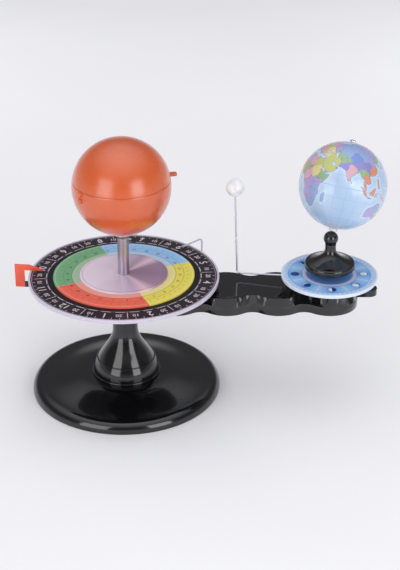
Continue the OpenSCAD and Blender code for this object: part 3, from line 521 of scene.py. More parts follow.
def season_print():
    """The dark band under the months: near-black ink with two fine rules."""
    material, tree = new_material(
        "season_print", specular_ior_level=0.25, coat_weight=0.08, coat_roughness=0.15)
    radius = use_group(tree, POLAR)["Radius"]
    ink = use_group(tree, INK, roughness=0.34)
    rule = paint(0.66, 0.62, 0.68)
    colour = ringed(tree, radius, paint(0.07, 0.07, 0.09), (
        (83.6, 100.2, 0.2, paint(0.17, 0.145, 0.175)), (99.9, 100.6, 0.1, rule), (83.4, 83.8, 0.1, rule)))
    colour = tinted(tree, colour, ink["Tone"], 0.3, paint(0.03, 0.03, 0.04))
    return complete(material, colour, ink["Roughness"], ink["Height"], 0.006)


def dial_body(name, edge, centre_x, rim_r):
    """A dial plate: pale rim, black body."""
    material, tree = new_material(name, coat_weight=0.3, coat_roughness=0.1)
    radius = use_group(tree, POLAR, centre_x=centre_x)["Radius"]
    skin = use_group(tree, MOULDED, roughness=0.24, spread=0.1, grain=700.0)
    rim = calc(tree, "GREATER_THAN", radius, rim_r)
    colour = mix(tree, rim, paint(0.09, 0.09, 0.10), toned(tree, skin["Tone"], edge, 0.08))
    return complete(material, colour, skin["Roughness"], skin["Height"], 0.008)


def silver_plate():
    """A turned disc: rings as fine as a lathe leaves them, and painted reflection round the disc: a light
    side, a darker mauve side and two pale painted sheen streaks.
    """
    material, tree = new_material("silver_plate", metallic=0.12)
    place = use_group(tree, POLAR)
    rings = noise(tree, put(tree, "ShaderNodeCombineXYZ", {0: place["Radius"]}).outputs[0], 6.0, 3.0)
    # Painted reflection: pale on the light side and darker mauve on the other, with two pale painted sheen
    # streaks at 0.135 and 0.845 of the turn.
    light, painted_reflection_mauve = paint(0.98, 0.93, 1.00), paint(0.63, 0.52, 0.63)
    tint = ramp(tree, place["Turn"], (
        (0.0, painted_reflection_mauve), (0.09, paint(0.66, 0.55, 0.66)), (0.135, paint(0.98, 0.86, 0.94)),
        (0.18, paint(0.74, 0.66, 0.76)), (0.34, light), (0.62, light), (0.80, paint(0.82, 0.74, 0.84)),
        (0.845, paint(0.96, 0.84, 0.92)), (0.89, paint(0.70, 0.58, 0.68)), (1.0, painted_reflection_mauve)))
    line = between(tree, place["Radius"], 45.0, 45.8, 0.1)
    colour = tinted(tree, tint, line, 0.5, paint(0.45, 0.43, 0.48))
    colour = tinted(tree, colour, rings, 0.10, paint(0.40, 0.38, 0.44))
    return complete(material, colour, plus(tree, 0.24, times(tree, rings, 0.16)), rings, 0.012)


def phase_print():
    """The phase dial's card: a blue field in eight cells between pale rings, and painted shade as a darker
    blue under the support's rim.
    """
    material, tree = new_material("phase_print", coat_weight=0.3, coat_roughness=0.1)
    place = use_group(tree, POLAR, centre_x=EARTH_X)
    ink = use_group(tree, INK)
    radius = place["Radius"]
    cell = calc(tree, "FRACT", plus(tree, times(tree, place["Turn"], PHASES), 0.5))
    field = mix(tree, between(tree, cell, 0.22, 0.78, 0.2), paint(0.66, 0.83, 0.98), paint(0.45, 0.69, 0.94))
    # Painted shade: the blue inside 25.5 mm, under the support's rim, is darker than the field.
    colour = ringed(tree, radius, field, (
        (45.6, 60.0, 0.6, paint(0.78, 0.87, 0.98)), (25.5, 29.5, 0.4, paint(0.84, 0.84, 0.95)),
        (0.0, 25.5, 0.4, paint(0.42, 0.62, 0.93))))
    rules = plus(tree, between(tree, radius, 43.9, 44.3, 0.1), between(tree, radius, 30.2, 30.6, 0.1))
    colour = tinted(tree, colour, rules, 0.7, paint(0.16, 0.34, 0.66))
    colour = tinted(tree, colour, ink["Tone"], 0.14, paint(0.20, 0.40, 0.75))
    return complete(material, colour, ink["Roughness"], ink["Height"], 0.006)


def sun_orange():
    """Translucent orange moulding: a little cloudy, polished outside."""
    material, tree = new_material(
        "sun_orange", coat_weight=0.8, coat_roughness=0.25, subsurface_weight=0.12, subsurface_scale=0.004,
        subsurface_radius=(1.0, 0.35, 0.1), sheen_weight=1.0, sheen_roughness=0.20,
        sheen_tint=(1.0, 0.80, 0.84, 1.0))
    skin = use_group(tree, MOULDED, roughness=0.28, spread=0.08, grain=500.0)
    cloud = noise(tree, object_place(tree), 22.0, 3.0)
    colour = mix(tree, cloud, paint(0.80, 0.33, 0.15), paint(0.86, 0.40, 0.19))
    return complete(material, colour, skin["Roughness"], skin["Height"], 0.006)


def pointer_red():
    """Red, and black on the low bar that comes out from under the dial, inward of the leg."""
    material, tree = new_material("pointer_red", coat_weight=0.25, coat_roughness=0.1)
    skin = use_group(tree, MOULDED, roughness=0.26, spread=0.1, grain=900.0)
    axes = axes_of(tree, object_place(tree))
    inward = calc(tree, "GREATER_THAN", axes["X"], -POINTER_LEG_R * MM)
    # The low bar under the dial, inward of the leg, is coloured black.
    under_dial_bar = times(tree, inward, calc(tree, "LESS_THAN", axes["Z"], POINTER_BAR_TOP * MM))
    red = toned(tree, skin["Tone"], paint(0.93, 0.34, 0.23), 0.12)
    return complete(material, mix(tree, under_dial_bar, red, BLACK), skin["Roughness"], skin["Height"], 0.01)


def moon_white():
    """White moulding with faint grey plains."""
    material, tree = new_material("moon_white", coat_weight=0.2, coat_roughness=0.2)
    skin = use_group(tree, MOULDED, roughness=0.38, spread=0.15, grain=1200.0)
    plain = noise(tree, object_place(tree), 110.0, 3.0)
    spots = rising(tree, plain, 0.5, 0.66)
    colour = tinted(tree, paint(0.95, 0.95, 0.95), spots, 0.55, paint(0.80, 0.80, 0.83))
    return complete(material, colour, skin["Roughness"], plain, 0.05)


def bulb_glass():
    """Clear lamp glass with a faint amber wash."""
    material, tree = new_material("bulb_glass", transmission_weight=1.0, ior=1.45)
    wash = noise(tree, object_place(tree), 160.0, 2.0)
    colour = mix(tree, wash, paint(1.0, 0.96, 0.86), paint(0.98, 0.99, 1.0))
    return complete(material, colour, times(tree, wash, 0.08))


def cell_wrap():
    """A cell's printed sleeve: dark with copper ends, by place along the cell."""
    material, tree = new_material("cell_wrap", coat_weight=0.4, coat_roughness=0.1)
    skin = use_group(tree, MOULDED, roughness=0.28, spread=0.1, grain=1500.0)
    along = calc(tree, "ABSOLUTE", axes_of(tree, object_place(tree))["Y"])
    end = calc(tree, "GREATER_THAN", along, COPPER_END * MM)
    colour = mix(tree, end, paint(0.13, 0.14, 0.17), paint(0.72, 0.46, 0.27))
    return complete(material, colour, skin["Roughness"], skin["Height"], 0.01)


def lead_wire():
    """Two insulated leads: one red, one black, by the side of the column they run on."""
    material, tree = new_material("lead_wire", coat_weight=0.1)
    skin = use_group(tree, MOULDED, roughness=0.42, spread=0.1, grain=1800.0)
    side = calc(tree, "GREATER_THAN", axes_of(tree, object_place(tree))["X"], 0.0)
    colour = mix(tree, side, paint(0.12, 0.12, 0.13), paint(0.72, 0.12, 0.10))
    return complete(material, colour, skin["Roughness"], skin["Height"], 0.02)


def globe_print():
    """A printed map: shaded sea, coasts, countries with borders, and the lines of the globe."""
    material, tree = new_material("globe_print", coat_weight=0.45, coat_roughness=0.07)
    place = object_place(tree)
    ink = use_group(tree, INK, roughness=0.26)
    ragged = minus(tree, noise(tree, place, 190.0, 5.0, 0.62), 0.5)
    coast = plus(tree, attribute(tree, "coast", "Fac"), times(tree, ragged, 4.2))
    sea = ramp(tree, calc(tree, "MULTIPLY_ADD", coast, 1 / 30, 1.0), (
        (0.0, paint(0.64, 0.75, 0.88)), (0.55, paint(0.68, 0.78, 0.89)), (0.86, paint(0.73, 0.82, 0.92)),
        (1.0, paint(0.80, 0.88, 0.95))))
    hills = noise(tree, place, 420.0, 4.0)
    land = tinted(tree, attribute(tree, "country", "Color"), hills, 0.30, paint(0.55, 0.50, 0.42))
    border = plus(tree, attribute(tree, "border", "Fac"), times(tree, ragged, 1.6))
    land = tinted(tree, land, between(tree, border, -0.32, 0.32, 0.1), 0.65, paint(0.60, 0.38, 0.42))
    axes = axes_of(tree, attribute(tree, "globe_place", "Vector"))
    lon = calc(tree, "DIVIDE", calc(tree, "ARCTAN2", axes["Y"], axes["X"]), GRID_STEP)
    lat = calc(tree, "DIVIDE", calc(tree, "ARCSINE", axes["Z"]), GRID_STEP)
    round_r = calc(tree, "SQRT", minus(tree, 1.0, calc(tree, "POWER", axes["Z"], 2.0)))
    step = GRID_STEP * GLOBE_R
    off_lon = times(tree, calc(tree, "PINGPONG", lon, 0.5), times(tree, round_r, step))
    off_lat = times(tree, calc(tree, "PINGPONG", lat, 0.5), step)
    rule = calc(tree, "LESS_THAN", calc(tree, "MINIMUM", off_lon, off_lat), 0.14)
    sea = tinted(tree, sea, rule, 0.55, paint(0.42, 0.62, 0.86))
    mask = rising(tree, coast, -0.1, 0.1)
    shore = between(tree, coast, -0.32, 0.05, 0.08)
    colour = tinted(tree, mix(tree, mask, sea, land), shore, 0.75, paint(0.30, 0.48, 0.72))
    colour = tinted(tree, colour, ink["Tone"], 0.08, paint(0.30, 0.40, 0.60))
    return complete(material, colour, ink["Roughness"], plus(tree, mask, times(tree, hills, 0.6)), 0.03)


PLASTICS = {
    "black_gloss": dict(
        colour=BLACK, roughness=0.14, spread=0.08, grain=600.0, depth=0.005, coat_weight=0.5,
        coat_roughness=0.04),
    "black_satin": dict(
        colour=paint(0.11, 0.11, 0.12), roughness=0.42, spread=0.12, grain=1400.0, depth=0.03),
    "gear_plastic": dict(
        colour=paint(0.88, 0.85, 0.76), roughness=0.36, spread=0.12, grain=1100.0, depth=0.015),
    "lamp_white": dict(colour=paint(0.92, 0.91, 0.88), roughness=0.34, grain=1000.0, depth=0.012),
    "knob_grey": dict(colour=paint(0.70, 0.70, 0.72), roughness=0.38, grain=1300.0, depth=0.02),
    "print_grey": dict(colour=paint(0.86, 0.80, 0.85), roughness=0.40, grain=2200.0, depth=0.004, tone=0.2),
    "print_brown": dict(colour=paint(0.30, 0.24, 0.20), roughness=0.40, grain=2200.0, depth=0.004, tone=0.2),
    "wire_pale": dict(
        colour=paint(0.88, 0.87, 0.92), roughness=0.26, grain=1500.0, depth=0.004, metallic=0.7),
    "phase_dark": dict(colour=paint(0.06, 0.22, 0.52), roughness=0.36, grain=2200.0, depth=0.004),
    "phase_light": dict(colour=paint(0.88, 0.93, 0.99), roughness=0.36, grain=2200.0, depth=0.004),
}
METALS = {
    "steel": dict(colour=paint(0.72, 0.72, 0.75), roughness=0.30, across=800.0, along=800.0),
    "tube_metal": dict(colour=paint(0.80, 0.78, 0.83), roughness=0.34, across=3200.0, along=40.0),
    "bright_metal": dict(colour=paint(0.90, 0.90, 0.93), roughness=0.14, across=900.0, along=500.0),
    "brass": dict(colour=paint(0.80, 0.64, 0.34), roughness=0.28, across=700.0, along=700.0),
    "iron": dict(colour=paint(0.34, 0.34, 0.36), roughness=0.55, across=300.0, along=300.0, depth=0.03),
}
OWN_LOOKS = (
    season_print, season_colours, silver_plate, phase_print, sun_orange, pointer_red, globe_print, moon_white,
    bulb_glass, cell_wrap, lead_wire)
FINISH = {
    "dial_pale": dial_body("dial_pale", paint(0.82, 0.79, 0.86), 0.0, DIAL_R - LIP_W - LIP_MARGIN),
    "phase_rim": dial_body("phase_rim", paint(0.86, 0.91, 0.98), EARTH_X, PHASE_R - LIP_W - LIP_MARGIN),
}
FINISH.update({name: moulded(name, **look) for name, look in PLASTICS.items()})
FINISH.update({name: brushed(name, **look) for name, look in METALS.items()})
FINISH.update({look.__name__: look() for look in OWN_LOOKS})


def dress_frame():
    """Gives each CAD node the finish of its slot."""
    for part in frame["record"]["subparts"]:
        for slot in CAD[part["node"]].material_slots:
            slot.material = FINISH[part["material_slot"]]


# Meshes


def rounded(corners, steps=5):
    """A closed outline whose corners, given as (across, up, radius), are rounded."""
    points = []
    for k, (across, up, radius) in enumerate(corners):
        here = Vector((across, up))
        if radius <= 0:
            points.append((across, up))
            continue
        before = Vector(corners[k - 1][:2]) - here
        after = Vector(corners[(k + 1) % len(corners)][:2]) - here
        half = before.angle(after) / 2
        reach = min(radius / math.tan(half), 0.48 * before.length, 0.48 * after.length)
        radius = reach * math.tan(half)
        before.normalize()
        after.normalize()
        middle = here + (before + after).normalized() * (radius / math.sin(half))
        start = here + before * reach - middle
        end = here + after * reach - middle
        for i in range(steps + 1):
            spoke = start.lerp(end, i / steps).normalized() * radius
            points.append(tuple(middle + spoke))
    return points


def arc(radius, low, high, count, up=0.0):
    """Points of a circle from one angle to another, with its middle at a height."""
    angles = [math.radians(low + (high - low) * i / count) for i in range(count + 1)]
    return [(radius * math.cos(a), up + radius * math.sin(a)) for a in angles]


def angle_at_height(height, radius):
    """The angle above level at which a ball of a radius has a height."""
    return math.degrees(math.asin(height / radius))


def angle_at_hole(hole, radius):
    """The angle above level at which a ball of a radius meets an upright hole."""
    return math.degrees(math.acos(hole / radius))


def shade(mesh, sharp):
    """Shades a mesh smooth up to an angle."""
    mesh.polygons.foreach_set("use_smooth", [True] * len(mesh.polygons))
    mesh.set_sharp_from_angle(angle=math.radians(sharp))


def mesh_of(shape, name, sharp=38):
    """A bmesh as a mesh: double points joined, faces turned outwards, smooth up to an angle."""
    bmesh.ops.remove_doubles(shape, verts=shape.verts, dist=1e-7)
    bmesh.ops.recalc_face_normals(shape, faces=shape.faces)
    mesh = bpy.data.meshes.new(name)
    shape.to_mesh(mesh)
    shape.free()
    shade(mesh, sharp)
    return mesh


def lathe(name, outline, steps, centre_x=0.0, sharp=38):
    """Turns a closed outline of (radius, height) points round an upright axis."""
    shape = bmesh.new()
    rings = []
    for k in range(steps):
        turn = 2 * math.pi * k / steps
        c, s = math.cos(turn), math.sin(turn)
        rings.append([shape.verts.new(((centre_x + r * c) * MM, r * s * MM, z * MM)) for r, z in outline])
    for k in range(steps):
        here, there = rings[k], rings[(k + 1) % steps]
        for j in range(len(outline)):
            i = (j + 1) % len(outline)
            if outline[j][0] > 1e-6 or outline[i][0] > 1e-6:
                shape.faces.new((here[j], there[j], there[i], here[i]))
    return mesh_of(shape, name, sharp)


def loose_object(name, data):
    """An object in the scene, at the origin."""
    made = bpy.data.objects.new(name, data)
    SCENE.collection.objects.link(made)
    return made


def plain_mesh(made, sharp=38):
    """The mesh that an object's modifiers give; the object goes."""
    bpy.context.view_layer.update()
    graph = bpy.context.evaluated_depsgraph_get()
    mesh = bpy.data.meshes.new_from_object(made.evaluated_get(graph))
    mesh.name = made.name
    bpy.data.objects.remove(made)
    if sharp:
        shade(mesh, sharp)
    return mesh


def add_piece(name, mesh, body, finish, replaced=()):
    """A finished piece: its material, its body, and the CAD nodes that it stands for."""
    piece = loose_object(name, mesh)
    mesh.materials.clear()
    mesh.materials.append(FINISH[finish])
    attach(piece, body)
    if replaced:
        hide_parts(*replaced)


def add_turned(name, outline, steps, body, finish, replaced, **shape):
    """A finished piece turned from an outline."""
    add_piece(name, lathe(name, outline, steps, **shape), body, finish, replaced)


def bevelled(made, width, segments, limit):
    """The object's mesh with its edges broken where they are sharper than a limit."""
    bevel = made.modifiers.new("edges", "BEVEL")
    bevel.width = width * MM
    bevel.segments = segments
    bevel.limit_method = "ANGLE"
    bevel.angle_limit = math.radians(limit)
    bevel.use_clamp_overlap = True
    return plain_mesh(made)


def softened(node, width):
    """A copy of a CAD node with its faces joined and its edges broken."""
    shape = bmesh.new()
    shape.from_mesh(CAD[node].data)
    bmesh.ops.remove_doubles(shape, verts=shape.verts, dist=2e-6)
    bmesh.ops.dissolve_limit(shape, angle_limit=math.radians(0.3), verts=shape.verts, edges=shape.edges)
    mesh = bpy.data.meshes.new(node)
    shape.to_mesh(mesh)
    shape.free()
    return bevelled(loose_object(node + "_soft", mesh), width, 2, 40)


def slab(name, plan, low, high, edge):
    """A plan outline given thickness, with broken edges."""
    shape = bmesh.new()
    face = shape.faces.new([shape.verts.new((x * MM, y * MM, low * MM)) for x, y in plan])
    raised = bmesh.ops.extrude_face_region(shape, geom=[face])
    lifted = [part for part in raised["geom"] if isinstance(part, bmesh.types.BMVert)]
    bmesh.ops.translate(shape, vec=(0, 0, (high - low) * MM), verts=lifted)
    return bevelled(loose_object(name, mesh_of(shape, name)), edge, 3, 45)


def add_box(shape, size, middle=(0, 0, 0)):
    """Adds a box to a bmesh."""
    corners = bmesh.ops.create_cube(shape, size=1.0)["verts"]
    bmesh.ops.scale(shape, vec=Vector(size) * MM, verts=corners)
    bmesh.ops.translate(shape, vec=Vector(middle) * MM, verts=corners)


def cut_out(made, shape, name):
    """The object's mesh with a shape cut out of it."""
    cutter = loose_object(name, mesh_of(shape, name))
    cut = made.modifiers.new(name, "BOOLEAN")
    cut.object = cutter
    cut.operation = "DIFFERENCE"
    mesh = plain_mesh(made)
    bpy.data.objects.remove(cutter)
    return mesh


def joined(name, meshes):
    """Several meshes as one."""
    shape = bmesh.new()
    for mesh in meshes:
        shape.from_mesh(mesh)
    whole = bpy.data.meshes.new(name)
    shape.to_mesh(whole)
    shape.free()
    shade(whole, 30)
    return whole


# Repeats and wires, by geometry nodes


def node_tree(name, inputs):
    """An empty geometry tree with a mesh in and out, and named inputs."""
    tree = bpy.data.node_groups.new(name, "GeometryNodeTree")
    tree.interface.new_socket("Geometry", in_out="INPUT", socket_type="NodeSocketGeometry")
    tree.interface.new_socket("Geometry", in_out="OUTPUT", socket_type="NodeSocketGeometry")
    for label, kind in inputs.items():
        tree.interface.new_socket(label, in_out="INPUT", socket_type="NodeSocket" + kind)
    return tree, tree.nodes.new("NodeGroupInput").outputs, tree.nodes.new("NodeGroupOutput").inputs


def end_tree(tree, geometry, material, out):
    """Realize Instances and Set Material, as each tree ends."""
    real = put(tree, "GeometryNodeRealizeInstances", {0: geometry}).outputs[0]
    dressed = put(tree, "GeometryNodeSetMaterial", {"Geometry": real, "Material": material})
    feed(tree, out[0], dressed.outputs[0])


def scale_tree():
    """Bars set round a dial: how many, at what radius, how long, how wide."""
    tree, given, out = node_tree("dial_scale", {
        "Count": "Int", "Radius": "Float", "Size": "Vector", "Place": "Vector", "Start": "Float",
        "Material": "Material"})
    circle = put(tree, "GeometryNodeMeshCircle", {"Vertices": given["Count"], "Radius": given["Radius"]})
    spot = put(tree, "GeometryNodeInputPosition").outputs[0]
    facing = put(tree, "FunctionNodeAlignRotationToVector", {"Vector": spot}, axis="X", pivot_axis="Z")
    bar = put(tree, "GeometryNodeMeshCube", {"Size": given["Size"]})
    bars = put(tree, "GeometryNodeInstanceOnPoints", {
        "Points": circle.outputs[0], "Instance": bar.outputs[0], "Rotation": facing.outputs[0]})
    spin = put(tree, "ShaderNodeCombineXYZ", {2: given["Start"]})
    move = put(tree, "GeometryNodeTransform", {
        "Geometry": bars.outputs[0], "Translation": given["Place"], "Rotation": spin.outputs[0]})
    end_tree(tree, move.outputs[0], given["Material"], out)
    return tree


def wire_tree():
    """A round wire along a bent line, with each corner taken at one radius."""
    tree, given, out = node_tree("bent_wire", {"Radius": "Float", "Bend": "Float", "Material": "Material"})
    line = put(tree, "GeometryNodeMeshToCurve", {0: given["Geometry"]}).outputs[0]
    corner = {"Curve": line, "Count": 10, "Radius": given["Bend"]}
    bent = put(tree, "GeometryNodeFilletCurve", corner, mode="POLY")
    for socket in bent.inputs:
        if socket.name == "Limit Radius":
            socket.default_value = True
    ring = put(tree, "GeometryNodeCurvePrimitiveCircle", {"Resolution": 24, "Radius": given["Radius"]})
    tube = put(tree, "GeometryNodeCurveToMesh", {
        "Curve": bent.outputs[0], "Profile Curve": ring.outputs[0], "Fill Caps": True})
    end_tree(tree, tube.outputs[0], given["Material"], out)
    return tree


def screw_tree():
    """One pattern screw set at each point."""
    tree, given, out = node_tree("screw_heads", {"Pattern": "Object", "Material": "Material"})
    pattern = put(tree, "GeometryNodeObjectInfo", {"Object": given["Pattern"]})
    set_out = put(tree, "GeometryNodeInstanceOnPoints", {
        "Points": given["Geometry"], "Instance": pattern.outputs["Geometry"]})
    end_tree(tree, set_out.outputs[0], given["Material"], out)
    return tree


SCALE = scale_tree()
WIRE = wire_tree()
SCREWS = screw_tree()


def grown(name, tree, first_mesh, **values):
    """The plain mesh that a geometry tree gives from a first mesh and named inputs."""
    made = loose_object(name, first_mesh)
    modifier = made.modifiers.new("grow", "NODES")
    modifier.node_group = tree
    for item in tree.interface.items_tree:
        if item.item_type == "SOCKET" and item.in_out == "INPUT" and item.name.lower() in values:
            modifier[item.identifier] = values[item.name.lower()]
    return plain_mesh(made)


def bars_round(name, count, radius, size, place, start=0.0, material="print_grey"):
    """Bars of one size round a dial, from a first angle on."""
    return grown(
        name, SCALE, bpy.data.meshes.new(name), count=count, radius=radius * MM,
        size=[part * MM for part in size], place=[part * MM for part in place], start=math.radians(start),
        material=FINISH[material])


def bent_wire(name, points):
    """A pale wire along a line through the points, bent round at the corners."""
    line = bpy.data.meshes.new(name + "_line")
    line.from_pydata([Vector(p) * MM for p in points], [(k, k + 1) for k in range(len(points) - 1)], [])
    return grown(name, WIRE, line, radius=WIRE_R * MM, bend=WIRE_BEND * MM, material=FINISH["wire_pale"])


# Base and pedestal


def base_section(inset):
    """The base's outline from the rim's foot to the seat."""
    edge = BASE_EDGE - inset
    top = BASE_H - inset
    centre = BASE_R - BASE_EDGE
    points = [(centre + r, top - edge + z) for r, z in arc(edge, 0, 90, 14)]
    steps = 24
    for i in range(1, steps + 1):
        share = i / steps
        rise = (SEAT_Z - BASE_H) * (1 - math.cos(math.pi * share)) / 2
        points.append((centre + (SEAT_R - centre) * share, top + rise))
    return points


def make_base():
    """The base: a turned shell with a slot for the switch."""
    inner = BASE_R - BASE_WALL
    foot = [(inner, 0.3), (inner + 0.4, 0), (BASE_R - 0.7, 0), (BASE_R - 0.15, 0.25), (BASE_R, 0.8)]
    seat = [(SEAT_BORE_R, SEAT_Z), (SEAT_BORE_R, SEAT_Z - BASE_WALL)]
    outline = foot + base_section(0) + seat + base_section(BASE_WALL)[::-1]
    shell = loose_object("base_turned", lathe("base_turned", outline, 240))
    slot = bmesh.new()
    add_box(slot, SWITCH_SLOT, (0, BASE_R, SWITCH_Z))
    add_piece("base_turned", cut_out(shell, slot, "slot_cutter"), "stand", "black_gloss", ["base_shell"])


def bell_point(share):
    """A point of the bell's outline, from its foot at 0 to its neck at 1."""
    swell = (1 + math.cos(math.pi * share)) / 2
    return Vector((NECK_R + (BELL_R - NECK_R) * swell, BELL_Z + BELL_H * share))


def bell_bead():
    """The half-round bead on the bell's outline."""
    middle = bell_point(BEAD_SHARE)
    up = (bell_point(BEAD_SHARE + 0.01) - bell_point(BEAD_SHARE - 0.01)).normalized()
    out = Vector((up.y, -up.x))
    return [tuple(middle + out * across + up * along) for across, along in arc(BEAD_R, -90, 90, 10)]


def make_pedestal():
    """The pedestal: a hollow bell with a bead, a straight neck and a sleeve for the tube."""
    foot = [(BELL_R - BASE_WALL, SEAT_Z), (FOOT_R - 0.3, SEAT_Z), (FOOT_R, SEAT_Z + 0.3)]
    edge = [(FOOT_R - FOOT_ROUND + r, z) for r, z in arc(FOOT_ROUND, 0, 90, 6, BELL_Z - FOOT_ROUND)]
    room = 1.2 * BEAD_R / BELL_H
    shares = [i / 60 for i in range(61)]
    low = [tuple(bell_point(t)) for t in shares if t < BEAD_SHARE - room]
    high = [tuple(bell_point(t)) for t in shares if t > BEAD_SHARE + room]
    top = [(NECK_R, PEDESTAL_TOP - NECK_ROUND), (NECK_R - 0.25, PEDESTAL_TOP - 0.2)]
    top += [(NECK_R - NECK_ROUND, PEDESTAL_TOP)]
    inner = [tuple(bell_point(t) - Vector((BASE_WALL, 0))) for t in shares if t <= BELL_HOLLOW]
    sleeve_r = TUBE_R + BASE_WALL
    sleeve = [(TUBE_R, PEDESTAL_TOP), (TUBE_R, BELL_Z), (sleeve_r, BELL_Z), (sleeve_r, inner[-1][1])]
    outline = foot + edge + low + bell_bead() + high + top + sleeve + inner[::-1]
    add_turned("pedestal_turned", outline, 200, "stand", "black_gloss", ["pedestal"])


# Season dial


def dial_plate_outline(radius, low, thick, hole):
    """A dial plate whose lip stands above and below it."""
    top = low + thick
    inside = radius - LIP_W
    return rounded([
        (hole, low, 0), (hole, top, 0), (inside, top, 0), (inside, top + LIP_RISE, 0.3),
        (radius, top + LIP_RISE, 0.5), (radius, low - LIP_RISE, 0.5), (inside, low - LIP_RISE, 0.3),
        (inside, low, 0)])


def disc_outline(radius, low, top, edge):
    """A flat disc round the column, with its upper edge rounded."""
    return rounded([(DISC_BORE_R, low, 0), (radius, low, 0), (radius, top, edge), (DISC_BORE_R, top, 0)])


def number_mesh(text, size, radius, turn, height):
    """A number that stands on a dial with its foot to the middle."""
    curve = bpy.data.curves.new("number", "FONT")
    curve.body = text
    curve.size = size * MM
    curve.align_x = "CENTER"
    curve.align_y = "CENTER"
    curve.extrude = NUMBER_THICK * MM
    curve.offset = NUMBER_WEIGHT * size * MM
    curve.resolution_u = 3
    mesh = plain_mesh(loose_object("number", curve), 0)
    mesh.transform(turned(turn, "Z") @ moved(radius, 0, height) @ turned(-90, "Z"))
    return mesh


def make_season_dial():
    """The season dial: its plate, the ring of seasons, the silver disc, and the print on them."""
    plate = dial_plate_outline(DIAL_R, DIAL_Z, DIAL_THICK, TUBE_R)
    add_turned("season_plate", plate, 240, "stand", "dial_pale", ["season_dial"])
    ring = disc_outline(SEASON_R, DIAL_FACE, SEASON_TOP, 0.4)
    add_turned("season_colour_ring", ring, 240, "stand", "season_colours", ["season_ring"])
    disc = disc_outline(PLATE_R, SEASON_TOP, PLATE_TOP, 0.5)
    add_turned("centre_disc", disc, 200, "stand", "silver_plate", ["centre_plate"])
    level = (0, 0, DIAL_FACE + PRINT_LIFT)
    marks = [
        bars_round("five_day_marks", count=6 * MONTHS, radius=98.0, size=(2.6, 0.6, BAR_H), place=level),
        bars_round(
            "month_rules", count=MONTHS, radius=92.2, size=(14.6, 0.7, BAR_H), place=level, start=5.0),
        bars_round("ten_day_rules", count=3 * MONTHS, radius=84.4, size=(0.7, 10.0, BAR_H), place=level),
    ]
    for month in range(1, MONTHS + 1):
        turn = MONTH_START + 360 / MONTHS * (month - 1)
        marks.append(number_mesh(str(month), MONTH_SIZE, MONTH_R, turn, DIAL_FACE + NUMBER_LIFT))
        for day, part in DAY_TURNS.items():
            marks.append(number_mesh(day, DAY_SIZE, MONTH_R, turn + part, DIAL_FACE + NUMBER_LIFT))
    add_piece("month_print", joined("month_print", marks), "stand", "print_grey", ())
    weeks = []
    for week in range(1, WEEKS, 2):
        turn = WEEK_START + 360 / WEEKS * (week - 1)
        weeks.append(number_mesh(str(week), WEEK_SIZE, WEEK_R, turn, SEASON_TOP + PRINT_LIFT))
    add_piece("week_print", joined("week_print", weeks), "stand", "print_brown", ())


# Sun


def make_sun():
    """The Sun: a bowl whose ridge holds the cap, the cap with its tab, two catches and the seat ring."""
    inner = SUN_R - SUN_WALL
    groove = SUN_R - SEAM_GROOVE
    bowl = arc(SUN_R, -angle_at_hole(SUN_BORE_R, SUN_R), angle_at_height(SEAM - SEAM_BREAK_LOW, SUN_R), 64)
    bowl += [
        (SUN_R - 0.75, SEAM - 0.05), (groove, SEAM), (RIDGE_OUT_R, SEAM),
        (RIDGE_OUT_R, RIDGE_TOP - RIDGE_EDGE), (RIDGE_OUT_R - RIDGE_EDGE, RIDGE_TOP),
        (RIDGE_IN_R + RIDGE_EDGE, RIDGE_TOP),
        (RIDGE_IN_R, RIDGE_TOP - RIDGE_EDGE), (RIDGE_IN_R, RIDGE_FOOT), (RIDGE_ROOT_R, RIDGE_FOOT)]
    bowl += arc(inner, angle_at_height(RIDGE_UNDER, inner), -angle_at_hole(SUN_BORE_R, inner), 48)
    bowl = [(r, SUN_Z + z) for r, z in bowl]
    add_turned("sun_bowl", bowl, 200, "stand", "sun_orange", ["sun_lower_shell"], sharp=30)
    cap = arc(SUN_R, angle_at_height(SEAM + SEAM_BREAK_TOP, SUN_R), 90, 52)
    cap += arc(inner, 90, angle_at_height(SEAM + SEAM_GAP, inner), 40)
    cap += [(groove, SEAM + SEAM_GAP)]
    cap = [(max(r, 0.0), SUN_Z + z) for r, z in cap]
    add_turned("sun_cap_shell", cap, 200, "sun_cap", "sun_orange", ["sun_upper_shell"], sharp=30)
    seam_z = SUN_Z + SEAM
    plan = rounded([
        (TAB_IN, -TAB_HALF, 0), (TAB_OUT, -TAB_HALF, TAB_ROUND), (TAB_OUT, TAB_HALF, TAB_ROUND),
        (TAB_IN, TAB_HALF, 0)])
    tab = slab("sun_tab", plan, seam_z + SEAM_GAP, seam_z + TAB_TOP, TAB_EDGE)
    tab.transform(turned(TAB_TURN, "Z"))
    add_piece("sun_tab", tab, "sun_cap", "sun_orange")
    button = rounded([
        (0, CATCH_IN, 0), (CATCH_R, CATCH_IN, 0), (CATCH_R, CATCH_OUT, CATCH_ROUND), (0, CATCH_OUT, 0)])
    for name, drop in CATCH_DROPS.items():
        boss = lathe(name, button, 40)
        boss.transform(moved(0, 0, seam_z - drop) @ turned(CATCH_TURN, "Z") @ turned(90, "Y"))
        add_piece(name, boss, "stand", "sun_orange")
    low = SUN_Z - SUN_R
    ring = rounded([
        (TUBE_R, low - SEAT_RING_DROP, 0), (SEAT_RING_R, low - SEAT_RING_DROP, 0.5),
        (SEAT_RING_R, low - FLANGE_DROP, 0.2), (FLANGE_R, low - FLANGE_DROP, 0.5),
        (FLANGE_R, low + 0.75, 0.3), (TUBE_R, low + 0.3, 0)])
    add_turned("sun_seat_ring", ring, 96, "stand", "bright_metal", ["sun_collar"])


# Arm, pointers and phase dial


